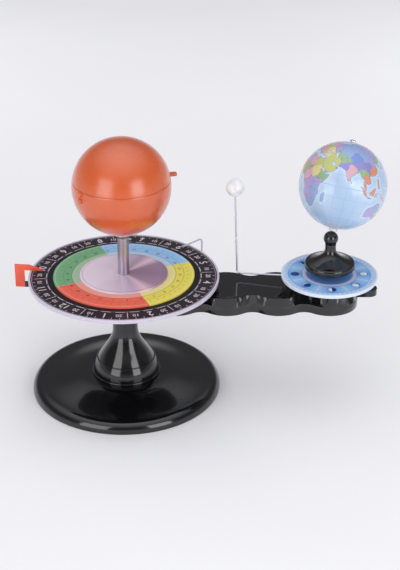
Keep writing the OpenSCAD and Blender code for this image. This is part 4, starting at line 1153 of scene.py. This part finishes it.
def make_arm():
    """The arm's case and its two pointers."""
    for node, width in CASE_EDGES.items():
        add_piece(node + "_edged", softened(node, width), "arm", "black_gloss", [node])
    pointer = softened("date_pointer", POINTER_EDGE)
    add_piece("date_pointer_edged", pointer, "arm", "pointer_red", ["date_pointer"])
    wire = bent_wire("wire_pointer_bent", [(r, 0, z) for r, z in WIRE_POINTER])
    wire.transform(turned(WIRE_POINTER_TURN, "Z"))
    add_piece("wire_pointer_bent", wire, "arm", "wire_pale", ["wire_pointer"])


def phase_shape(share, radius):
    """The lit part of a Moon, from new at 0 through full at 0.5, as an outline."""
    side = 1 if share <= 0.5 else -1
    bulge = math.cos(2 * math.pi * share)
    limb = [(side * x, y) for x, y in arc(radius, -90, 90, 24)]
    return limb + [(bulge * x, y) for x, y in limb[::-1][1:-1]]


def make_phase_dial():
    """The phase dial: its plate, and a dark spot with its lit part for each phase."""
    outline = dial_plate_outline(PHASE_R, PHASE_Z, PHASE_THICK, PHASE_HOLE_R)
    plate = lathe("phase_plate", outline, 200, EARTH_X)
    outline = rounded([
        (PHASE_HOLE_R, PHASE_BOSS_LOW, 0), (PHASE_BOSS_R, PHASE_BOSS_LOW, 0.3),
        (PHASE_BOSS_R, PHASE_BOSS_TOP, 0), (PHASE_HOLE_R, PHASE_BOSS_TOP, 0)])
    whole = joined("phase_plate", [plate, lathe("phase_boss", outline, 64, EARTH_X)])
    add_piece("phase_plate", whole, "arm", "phase_rim", ["phase_dial"])
    discs = []
    lights = []
    for k in range(PHASES):
        spot = moved(EARTH_X, 0, 0) @ turned(180 + 360 / PHASES * k, "Z")
        spot = spot @ moved(SPOT_PLACE_R, 0, 0) @ turned(-90, "Z")
        disc = slab("spot", arc(SPOT_R, 0, 352.5, 47), PHASE_FACE - PRINT_LIFT, PHASE_FACE + SPOT_TOP, 0.01)
        disc.transform(spot)
        discs.append(disc)
        if k:
            light = slab("light", phase_shape(k / PHASES, LIT_R), PHASE_FACE, PHASE_FACE + LIT_TOP, 0.01)
            light.transform(spot)
            lights.append(light)
    level = (EARTH_X, 0, PHASE_FACE + PRINT_LIFT)
    discs.append(bars_round(
        "phase_marks", count=56, radius=47.2, size=(2.0, 0.5, BAR_H), place=level, material="phase_dark"))
    lights.append(bars_round(
        "phase_rules", count=PHASES, radius=37.2, size=(12.0, 0.6, BAR_H), place=level, start=22.5,
        material="phase_light"))
    add_piece("phase_spots", joined("phase_spots", discs), "arm", "phase_dark", ())
    add_piece("phase_lights", joined("phase_lights", lights), "arm", "phase_light", ())


# Earth


def make_support():
    """The turned support: a stem, a thick round rim, a concave cone up to the neck, and the ball on it."""
    corners = [(BORE_R, SUPPORT_LOW, 0), (STEM_R, SUPPORT_LOW, 0.3), (STEM_R, RIM_LOW, 0.4)]
    corners += [(RIM_R, RIM_LOW, RIM_ROUND_LOW), (RIM_R, RIM_TOP, RIM_ROUND_TOP)]
    steps = 24
    for i in range(steps + 1):
        share = i / steps
        across = SUPPORT_NECK_R + (CONE_R - SUPPORT_NECK_R) * (1 - share) ** CONE_FLARE
        corners.append((across, CONE_LOW + (CONE_TOP - CONE_LOW) * share, 0))
    corners += [(SUPPORT_NECK_R, SUPPORT_TOP, 0.4), (BORE_R, SUPPORT_TOP, 0)]
    add_turned("support_turned", rounded(corners), 160, "earth_carrier", "black_gloss", ["earth_support"],
               centre_x=EARTH_X)
    ball = [(max(r, 0.0), COLLAR_Z + z) for r, z in arc(COLLAR_R, -COLLAR_CUT, 90, 36)]
    ball += [(0, COLLAR_Z - COLLAR_DROP)]
    add_turned("collar_ball", ball, 96, "earth_carrier", "black_gloss", ["axis_collar"], centre_x=EARTH_X)


# The map: coasts as rows of longitude and latitude, then a point and a colour for each country

AFRICA = [
    (-6, 36), (3, 37), (10, 37), (11, 34), (15, 32), (20, 31), (23, 33), (29, 31), (33, 31), (35, 27),
    (37, 21), (39, 16), (43, 12), (47, 11), (51, 12), (49, 7), (45, 2), (41, -2), (39, -7), (41, -14),
    (36, -19), (35, -24), (32, -28), (27, -34), (20, -35), (18, -32), (15, -27), (12, -18), (14, -11),
    (12, -5), (9, 0), (9, 4), (4, 6), (-4, 5), (-8, 4), (-13, 9), (-17, 14), (-17, 21), (-13, 27),
    (-10, 30)]
EURASIA = [
    (-9, 37), (-9, 43), (-1, 44), (-2, 48), (2, 51), (5, 53), (8, 54), (9, 57), (11, 56), (12, 54),
    (19, 55), (22, 58), (24, 60), (22, 61), (25, 65), (21, 65), (17, 61), (18, 59), (16, 56), (13, 55),
    (11, 59), (6, 58), (5, 61), (10, 64), (14, 68), (20, 70), (28, 71), (40, 67), (35, 66), (40, 64),
    (44, 67), (54, 69), (60, 69), (68, 69), (70, 73), (75, 72), (81, 74), (95, 76), (105, 78), (113, 74),
    (130, 71), (140, 73), (160, 70), (170, 69), (180, 68), (190, 66), (187, 64), (178, 63), (170, 60),
    (163, 58), (157, 51), (156, 57), (163, 62), (155, 59), (143, 59), (136, 55), (141, 52), (140, 48),
    (132, 43), (128, 40), (129, 36), (126, 35), (125, 39), (121, 40), (118, 39), (122, 37), (119, 35),
    (122, 31), (120, 26), (115, 22), (109, 21), (106, 20), (109, 12), (105, 9), (100, 13), (103, 5),
    (103, 1), (100, 4), (98, 8), (98, 15), (94, 16), (91, 22), (87, 21), (80, 15), (80, 11), (77, 8),
    (73, 17), (72, 21), (67, 24), (61, 25), (57, 26), (56, 27), (50, 30), (48, 30), (50, 26), (52, 24),
    (56, 26), (60, 22), (55, 17), (45, 13), (43, 14), (39, 21), (35, 28), (34, 31), (36, 36), (30, 36),
    (27, 37), (26, 40), (29, 41), (35, 42), (41, 41), (37, 45), (34, 46), (31, 46), (28, 43), (28, 41),
    (24, 41), (23, 38), (20, 40), (19, 42), (13, 46), (12, 44), (16, 41), (18, 40), (16, 38), (15, 40),
    (11, 42), (8, 44), (3, 43), (0, 40), (0, 38), (-2, 37), (-6, 36)]
NORTH_AMERICA = [
    (-168, 66), (-156, 71), (-140, 70), (-125, 70), (-110, 68), (-95, 68), (-85, 69), (-82, 66),
    (-94, 59), (-85, 55), (-80, 52), (-78, 57), (-78, 62), (-70, 61), (-65, 58), (-56, 52), (-65, 49),
    (-60, 46), (-70, 43), (-74, 40), (-76, 35), (-81, 31), (-80, 25), (-83, 29), (-90, 30), (-97, 27),
    (-97, 20), (-91, 19), (-87, 21), (-88, 16), (-83, 15), (-83, 10), (-78, 9), (-80, 7), (-86, 12),
    (-94, 16), (-105, 20), (-112, 29), (-110, 23), (-117, 32), (-124, 40), (-124, 48), (-133, 55),
    (-140, 60), (-152, 60), (-160, 55), (-158, 58), (-165, 62)]
SOUTH_AMERICA = [
    (-78, 9), (-72, 12), (-62, 10), (-51, 4), (-44, -2), (-35, -6), (-39, -16), (-41, -22), (-48, -27),
    (-54, -34), (-58, -38), (-65, -43), (-68, -52), (-74, -52), (-73, -40), (-71, -30), (-70, -18),
    (-77, -12), (-81, -5), (-80, 1), (-77, 5)]
AUSTRALIA = [
    (114, -22), (122, -18), (130, -12), (136, -12), (136, -16), (141, -17), (142, -11), (146, -19),
    (153, -26), (150, -37), (144, -38), (138, -35), (132, -32), (124, -33), (115, -34), (113, -26)]
ISLANDS = [
    [(-5, 50), (1, 51), (0, 53), (-2, 56), (-3, 58), (-5, 58), (-5, 55), (-3, 53)],
    [(-22, 64), (-14, 65), (-16, 66), (-22, 66)],
    [(-45, 60), (-40, 65), (-22, 70), (-20, 76), (-15, 81), (-35, 83), (-60, 82), (-68, 78), (-58, 75),
     (-52, 69), (-50, 64)],
    [(44, -16), (49, -12), (50, -15), (47, -25), (44, -24)],
    [(130, 32), (136, 34), (140, 35), (141, 39), (145, 43), (141, 45), (140, 41), (137, 37), (132, 35)],
    [(80, 6), (82, 7), (81, 9), (80, 9)],
    [(95, 5), (98, 4), (104, -2), (106, -6), (102, -4)],
    [(106, -6), (114, -7), (114, -8.5), (106, -7.5)],
    [(109, 1), (113, 3), (117, 7), (119, 5), (116, -3), (110, -3)],
    [(119, -5), (120, 1), (125, 1), (121, -1), (123, -5), (121, -3)],
    [(131, -1), (141, -3), (150, -10), (143, -8), (138, -8), (132, -4)],
    [(120, 18), (122, 18), (124, 12), (126, 7), (122, 7), (121, 13)],
    [(173, -35), (178, -38), (175, -41), (170, -46), (167, -46), (172, -41), (175, -37)],
    [(-90, 72), (-80, 74), (-65, 67), (-68, 63), (-78, 70), (-88, 70)],
    [(-85, 22), (-77, 20), (-74, 20), (-80, 23)],
    [(-180, -78), (-120, -73), (-75, -72), (-58, -63), (-62, -72), (-30, -77), (0, -70), (50, -67),
     (90, -66), (140, -66), (170, -72), (180, -78), (180, -90), (-180, -90)]]
MEADOW = (0.80, 0.82, 0.48)
LILAC = (0.73, 0.67, 0.89)
ROSE = (0.90, 0.71, 0.78)
VIOLET = (0.58, 0.57, 0.86)
CORAL = (0.92, 0.61, 0.48)
STRAW = (0.92, 0.88, 0.62)
LEAF = (0.60, 0.76, 0.58)
SKY = (0.60, 0.72, 0.92)
AZURE = (0.46, 0.60, 0.90)
ICE = (0.91, 0.93, 0.97)
COUNTRIES = [
    (45, 24, MEADOW), (29, 27, MEADOW), (30, 14, STRAW), (40, 8, LEAF), (37, 0, LILAC), (35, -7, SKY),
    (22, -3, LILAC), (17, 6, ROSE), (18, -12, LILAC), (30, -14, SKY), (36, -16, SKY), (24, -30, SKY),
    (22, -22, LILAC), (47, -19, SKY), (17, 27, ROSE), (3, 28, LILAC), (8, 16, LEAF), (-3, 17, CORAL),
    (-10, 8, STRAW), (34, 39, STRAW), (44, 33, MEADOW), (54, 33, MEADOW), (67, 48, SKY), (60, 40, LEAF),
    (45, 57, LILAC), (62, 60, SKY), (90, 62, SKY), (120, 62, LILAC), (140, 63, SKY), (165, 65, SKY),
    (86, 41, AZURE), (92, 33, VIOLET), (105, 33, VIOLET), (115, 28, CORAL), (114, 39, LILAC),
    (103, 46, SKY), (79, 22, ROSE), (77, 13, ROSE), (68, 29, VIOLET), (66, 34, LEAF), (96, 21, LEAF),
    (101, 16, CORAL), (107, 15, CORAL), (102, -1, CORAL), (110, -7, STRAW), (114, 0, CORAL),
    (121, -2, ROSE), (141, -5, ROSE), (123, 12, CORAL), (138, 37, ROSE), (127, 38, LEAF), (-4, 40, STRAW),
    (2, 47, LILAC), (10, 51, CORAL), (13, 42, LEAF), (20, 44, ROSE), (15, 63, MEADOW), (26, 64, ROSE),
    (-2, 54, ROSE), (31, 49, STRAW), (21, 52, MEADOW), (-40, 73, ICE), (-18, 65, LILAC), (-105, 58, ROSE),
    (-75, 55, ROSE), (-80, 70, ICE), (-152, 65, LEAF), (-98, 39, STRAW), (-102, 23, CORAL),
    (-86, 13, LILAC), (-79, 21, LEAF), (-53, -10, LEAF), (-65, -35, STRAW), (-75, -10, CORAL),
    (-64, -17, ROSE), (-71, -30, LILAC), (-70, 6, ROSE), (122, -26, LILAC), (134, -22, SKY),
    (146, -24, STRAW), (146, -34, LILAC), (172, -42, MEADOW), (0, -85, ICE), (90, -80, ICE),
    (-90, -80, ICE), (180, -80, ICE)]
LAKES = [
    [(47, 45), (53, 46), (53, 42), (54, 37), (50, 37), (49, 41)],
    [(32, 0), (34, 0), (34, -2), (32, -2)]]
GLOBE_TURN = 228.0


def coast_distance(lon, lat):
    """How far each point lies inside the nearest coast, in degrees; below zero at sea."""
    best = np.full(lon.shape, -180.0)
    for outline in [AFRICA, EURASIA, NORTH_AMERICA, SOUTH_AMERICA, AUSTRALIA] + ISLANDS + LAKES:
        corners = np.array(outline, float)
        middle = (corners[:, 0].min() + corners[:, 0].max()) / 2
        x = (lon - middle + 180) % 360 - 180 + middle
        inside = np.zeros(lon.shape, bool)
        nearest = np.full(lon.shape, 1e9)
        shrink = np.cos(np.radians(lat))
        for (ax, ay), (bx, by) in zip(corners, np.roll(corners, -1, axis=0)):
            crosses = (ay > lat) != (by > lat)
            if ay != by:
                inside ^= crosses & (x < (bx - ax) * (lat - ay) / (by - ay) + ax)
            px, py = (x - ax) * shrink, lat - ay
            qx, qy = (bx - ax) * shrink, by - ay
            along = np.clip((px * qx + py * qy) / (qx * qx + qy * qy + 1e-12), 0, 1)
            nearest = np.minimum(nearest, np.hypot(px - along * qx, py - along * qy))
        depth = np.where(inside, nearest, -nearest)
        best = np.minimum(best, -depth) if outline in LAKES else np.maximum(best, depth)
    return best


def unit(lon, lat):
    """Points of a ball of radius 1."""
    lon, lat = np.radians(lon), np.radians(lat)
    return np.stack([np.cos(lat) * np.cos(lon), np.cos(lat) * np.sin(lon), np.sin(lat)], axis=-1)


def print_map(mesh):
    """Writes the map's own attributes on a globe whose axis still stands upright at the origin."""
    def write(label, kind, key, values):
        data = mesh.attributes.new(label, kind, "POINT").data
        data.foreach_set(key, values.astype(np.float32).ravel())

    place = np.zeros(len(mesh.vertices) * 3)
    mesh.vertices.foreach_get("co", place)
    place = place.reshape(-1, 3)
    place /= np.linalg.norm(place, axis=1, keepdims=True)
    lat = np.degrees(np.arcsin(np.clip(place[:, 2], -1, 1)))
    lon = np.degrees(np.arctan2(place[:, 1], place[:, 0])) + GLOBE_TURN
    lon = (lon + 180) % 360 - 180
    degree = math.radians(1) * GLOBE_R
    wander_x = 1.1 * np.sin(0.42 * lat + 1.7 * np.sin(0.19 * lon)) + 0.45 * np.sin(1.07 * lat + 0.6 * lon)
    wander_y = 1.0 * np.sin(0.38 * lon + 1.9 * np.sin(0.23 * lat)) + 0.40 * np.sin(0.93 * lon - 0.7 * lat)
    seeds = unit(np.array([c[0] for c in COUNTRIES]), np.array([c[1] for c in COUNTRIES]))
    angles = np.arccos(np.clip(unit(lon + wander_x, lat + wander_y) @ seeds.T, -1, 1))
    order = np.argsort(angles, axis=1)[:, :2]
    first = np.take_along_axis(angles, order[:, :1], 1)[:, 0]
    second = np.take_along_axis(angles, order[:, 1:], 1)[:, 0]
    palette = np.array([paint(*c[2]) for c in COUNTRIES])
    write("coast", "FLOAT", "value", coast_distance(lon, lat) * degree)
    write("border", "FLOAT", "value", (second - first) * GLOBE_R)
    write("country", "FLOAT_COLOR", "color", palette[order[:, 0]])
    write("globe_place", "FLOAT_VECTOR", "vector", place)


def make_globe():
    """The globe: one shell with a line at the equator, set on its leaning axis."""
    inner = GLOBE_R - GLOBE_WALL
    boss_low = COLLAR_R + GLOBE_BOSS_GAP - GLOBE_LIFT
    south = angle_at_hole(GLOBE_BOSS_R, GLOBE_R)
    north = angle_at_hole(GLOBE_HOLE_R, GLOBE_R)
    pole = angle_at_hole(GLOBE_HOLE_R, inner)
    outline = [(GLOBE_HOLE_R, boss_low), (GLOBE_BOSS_R - 0.4, boss_low), (GLOBE_BOSS_R, boss_low + 0.4)]
    outline += arc(GLOBE_R, -south, -EQUATOR_HALF, 92) + [(GLOBE_R - EQUATOR_DEEP, 0.0)]
    outline += arc(GLOBE_R, EQUATOR_HALF, north, 98)
    outline += arc(inner, pole, -pole, 24)
    mesh = lathe("globe_shell", outline, 384)
    print_map(mesh)
    mesh.transform(AXIS_FRAME @ moved(0, 0, GLOBE_LIFT))
    add_piece("globe_shell", mesh, "globe", "globe_print", ["globe_south", "globe_north"])


# Moon


def pit_height(off):
    """The height of a pit's bowl and raised brim, at a distance counted in the bowl's own radius."""
    if off < 1:
        return PIT_DEEP * (off * off - 1)
    return PIT_BRIM_H * math.sin(math.pi * (off - 1) / PIT_BRIM)


def make_moon():
    """The Moon: a pitted ball on a bent wire, and its hub."""
    line = [(MOON_WIRE_IN, 0, 0), (MOON_REACH, 0, 0), (MOON_REACH, 0, MOON_WIRE_TOP)]
    wire = bent_wire("moon_wire_bent", line)
    wire.transform(MOON_FRAME)
    add_piece("moon_wire_bent", wire, "moon", "wire_pale", ["moon_wire"])
    shape = bmesh.new()
    bmesh.ops.create_icosphere(shape, subdivisions=6, radius=MOON_R * MM)
    golden = math.pi * (3 - math.sqrt(5))
    for k in range(PITS):
        up = 1 - 2 * (k + 0.5) / PITS
        out = math.sqrt(1 - up * up)
        pit = Vector((out * math.cos(golden * k), out * math.sin(golden * k), up))
        wide = math.radians(5 + 9 * abs(math.sin(2.7 * k)))
        for vert in shape.verts:
            off = vert.co.angle(pit) / wide
            if off < 1 + PIT_BRIM:
                vert.co *= 1 + pit_height(off) * wide * 3 / MOON_R
    ball = mesh_of(shape, "moon_ball_pitted", 60)
    ball.transform(MOON_FRAME @ moved(MOON_REACH, 0, MOON_UP))
    add_piece("moon_ball_pitted", ball, "moon", "moon_white", ["moon_ball"])
    add_piece("moon_hub_edged", softened("moon_hub", MOON_HUB_EDGE), "moon", "black_gloss", ["moon_hub"])


# Screws


def screw_pattern(length):
    """A pan-head screw with a cross recess, its head below and its shank up."""
    tip = SCREW_HEAD_H + length
    outline = rounded([
        (0, 0, 0), (SCREW_HEAD_R, 0, 0.6), (SCREW_HEAD_R, SCREW_HEAD_H, 0), (SCREW_R, SCREW_HEAD_H, 0),
        (SCREW_R, tip, 0.4), (0, tip, 0)])
    made = loose_object("screw", lathe("screw", outline, 32))
    cross = bmesh.new()
    add_box(cross, (RECESS_LONG, RECESS_WIDE, RECESS_DEEP))
    add_box(cross, (RECESS_WIDE, RECESS_LONG, RECESS_DEEP))
    return loose_object("screw_pattern", cut_out(made, cross, "recess"))


def set_screws(name, points, length, body, node):
    """A set of equal screws, each with its head at a point."""
    pattern = screw_pattern(length)
    spots = bpy.data.meshes.new(name)
    spots.from_pydata([Vector(p) * MM for p in points], [], [])
    mesh = grown(name, SCREWS, spots, pattern=pattern, material=FINISH["steel"])
    bpy.data.objects.remove(pattern)
    add_piece(name, mesh, body, "steel", [node])


def make_screws():
    """The screws of the base's cover, the battery door and the arm's case."""
    cover = [(x, y, COVER_SCREW_Z) for x, y in arc(COVER_SCREW_R, 45, 315, 3)]
    cover += [(DOOR_X + side * DOOR_SCREW_OFF, 0, COVER_SCREW_Z) for side in (-1, 1)]
    set_screws("cover_screws_set", cover, COVER_SCREW_LONG, "stand", "cover_screws")
    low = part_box("arm_screws")[0].z / MM
    notch = math.sqrt((LOBE_R + NOTCH_R) ** 2 - (GEAR_PITCH / 2) ** 2) - NOTCH_R
    aside = notch - CASE_WALL - SCREW_R - SCREW_GAP
    rows = [(0.5, 1), (0.5, -1), (1.5, 1), (1.5, -1), (2.5, 1), (2.5, -1), (3.5, -1)]
    case = [(GEAR_PITCH * along, side * aside, low) for along, side in rows]
    set_screws("case_screws_set", case, CASE_SCREW_LONG, "arm", "arm_screws")


# Stage, light and camera, in metres

FLOOR_HALF = 12.0
SKY_BLUE = 1.04
SKY_LEVELS = ((0.0, 0.50), (0.10, 0.50), (0.26, 0.14), (0.55, 0.19), (1.0, 1.48))
LAMP_AIM = (0.08, 0.0, 0.15)
LAMPS = {
    "left_softbox": dict(azimuth=-38, height=17, distance=1.5, size=(0.84, 0.98), power=7.0),
    "right_softbox": dict(azimuth=38, height=17, distance=1.5, size=(0.72, 0.90), power=7.3),
    "left_rim_lamp": dict(
        azimuth=-140, height=20, distance=1.7, size=(0.60, 0.70), power=4.0, mirrored=False),
    "right_rim_lamp": dict(
        azimuth=140, height=20, distance=1.7, size=(0.60, 0.70), power=4.0, mirrored=False),
}
CAMERA_PLACE = (0.083, -1.400, 0.852)
CAMERA_DOWN = 27.4
LENS = 129.6
SENSOR_W = 36.0


def make_stage():
    """A pale floor, and a sky that is grey at the horizon, dark above it and bright overhead."""
    shape = bmesh.new()
    bmesh.ops.create_grid(shape, x_segments=8, y_segments=8, size=FLOOR_HALF)
    floor = loose_object("floor", mesh_of(shape, "floor"))
    material, tree = new_material("pale_floor")
    cloud = noise(tree, object_place(tree), 3.0, 3.0)
    colour = mix(tree, cloud, paint(0.94, 0.94, 0.95), paint(0.96, 0.96, 0.97))
    floor.data.materials.append(complete(material, colour, plus(tree, 0.6, times(tree, cloud, 0.1))))
    world = bpy.data.worlds.new("studio")
    world.use_nodes = True
    tree = world.node_tree
    rise = axes_of(tree, put(tree, "ShaderNodeTexCoord").outputs["Generated"])["Z"]
    stops = [(height, (level, level, SKY_BLUE * level, 1.0)) for height, level in SKY_LEVELS]
    background = tree.nodes["Background"].inputs
    feed(tree, background["Color"], ramp(tree, rise, stops))
    feed(tree, background["Strength"], 1.0)
    SCENE.world = world


def add_lamp(name, azimuth, height, distance, size, power, mirrored=True):
    """A flat lamp that faces the aim; azimuth 0 is the camera's side."""
    lamp = bpy.data.lights.new(name, "AREA")
    lamp.shape = "RECTANGLE"
    lamp.size, lamp.size_y = size
    lamp.energy = power
    made = loose_object(name, lamp)
    turn, rise = math.radians(azimuth), math.radians(height)
    away = Vector((math.sin(turn) * math.cos(rise), -math.cos(turn) * math.cos(rise), math.sin(rise)))
    made.location = Vector(LAMP_AIM) + away * distance
    made.visible_glossy = mirrored
    made.rotation_euler = away.to_track_quat("Z", "Y").to_euler()


def make_camera():
    """The camera, level across and looking down on the dial."""
    lens = bpy.data.cameras.new("camera")
    lens.sensor_fit = "HORIZONTAL"
    lens.sensor_width = SENSOR_W
    lens.lens = LENS
    camera = loose_object("camera", lens)
    camera.location = CAMERA_PLACE
    camera.rotation_euler = Euler((math.radians(90 - CAMERA_DOWN), 0, 0))
    SCENE.camera = camera


dress_frame()
make_base()
make_pedestal()
make_season_dial()
make_sun()
make_arm()
make_phase_dial()
make_support()
make_globe()
make_moon()
make_screws()
make_stage()
for lamp_name, lamp_look in LAMPS.items():
    add_lamp(lamp_name, **lamp_look)
make_camera()
SCENE.view_settings.view_transform = "Standard"
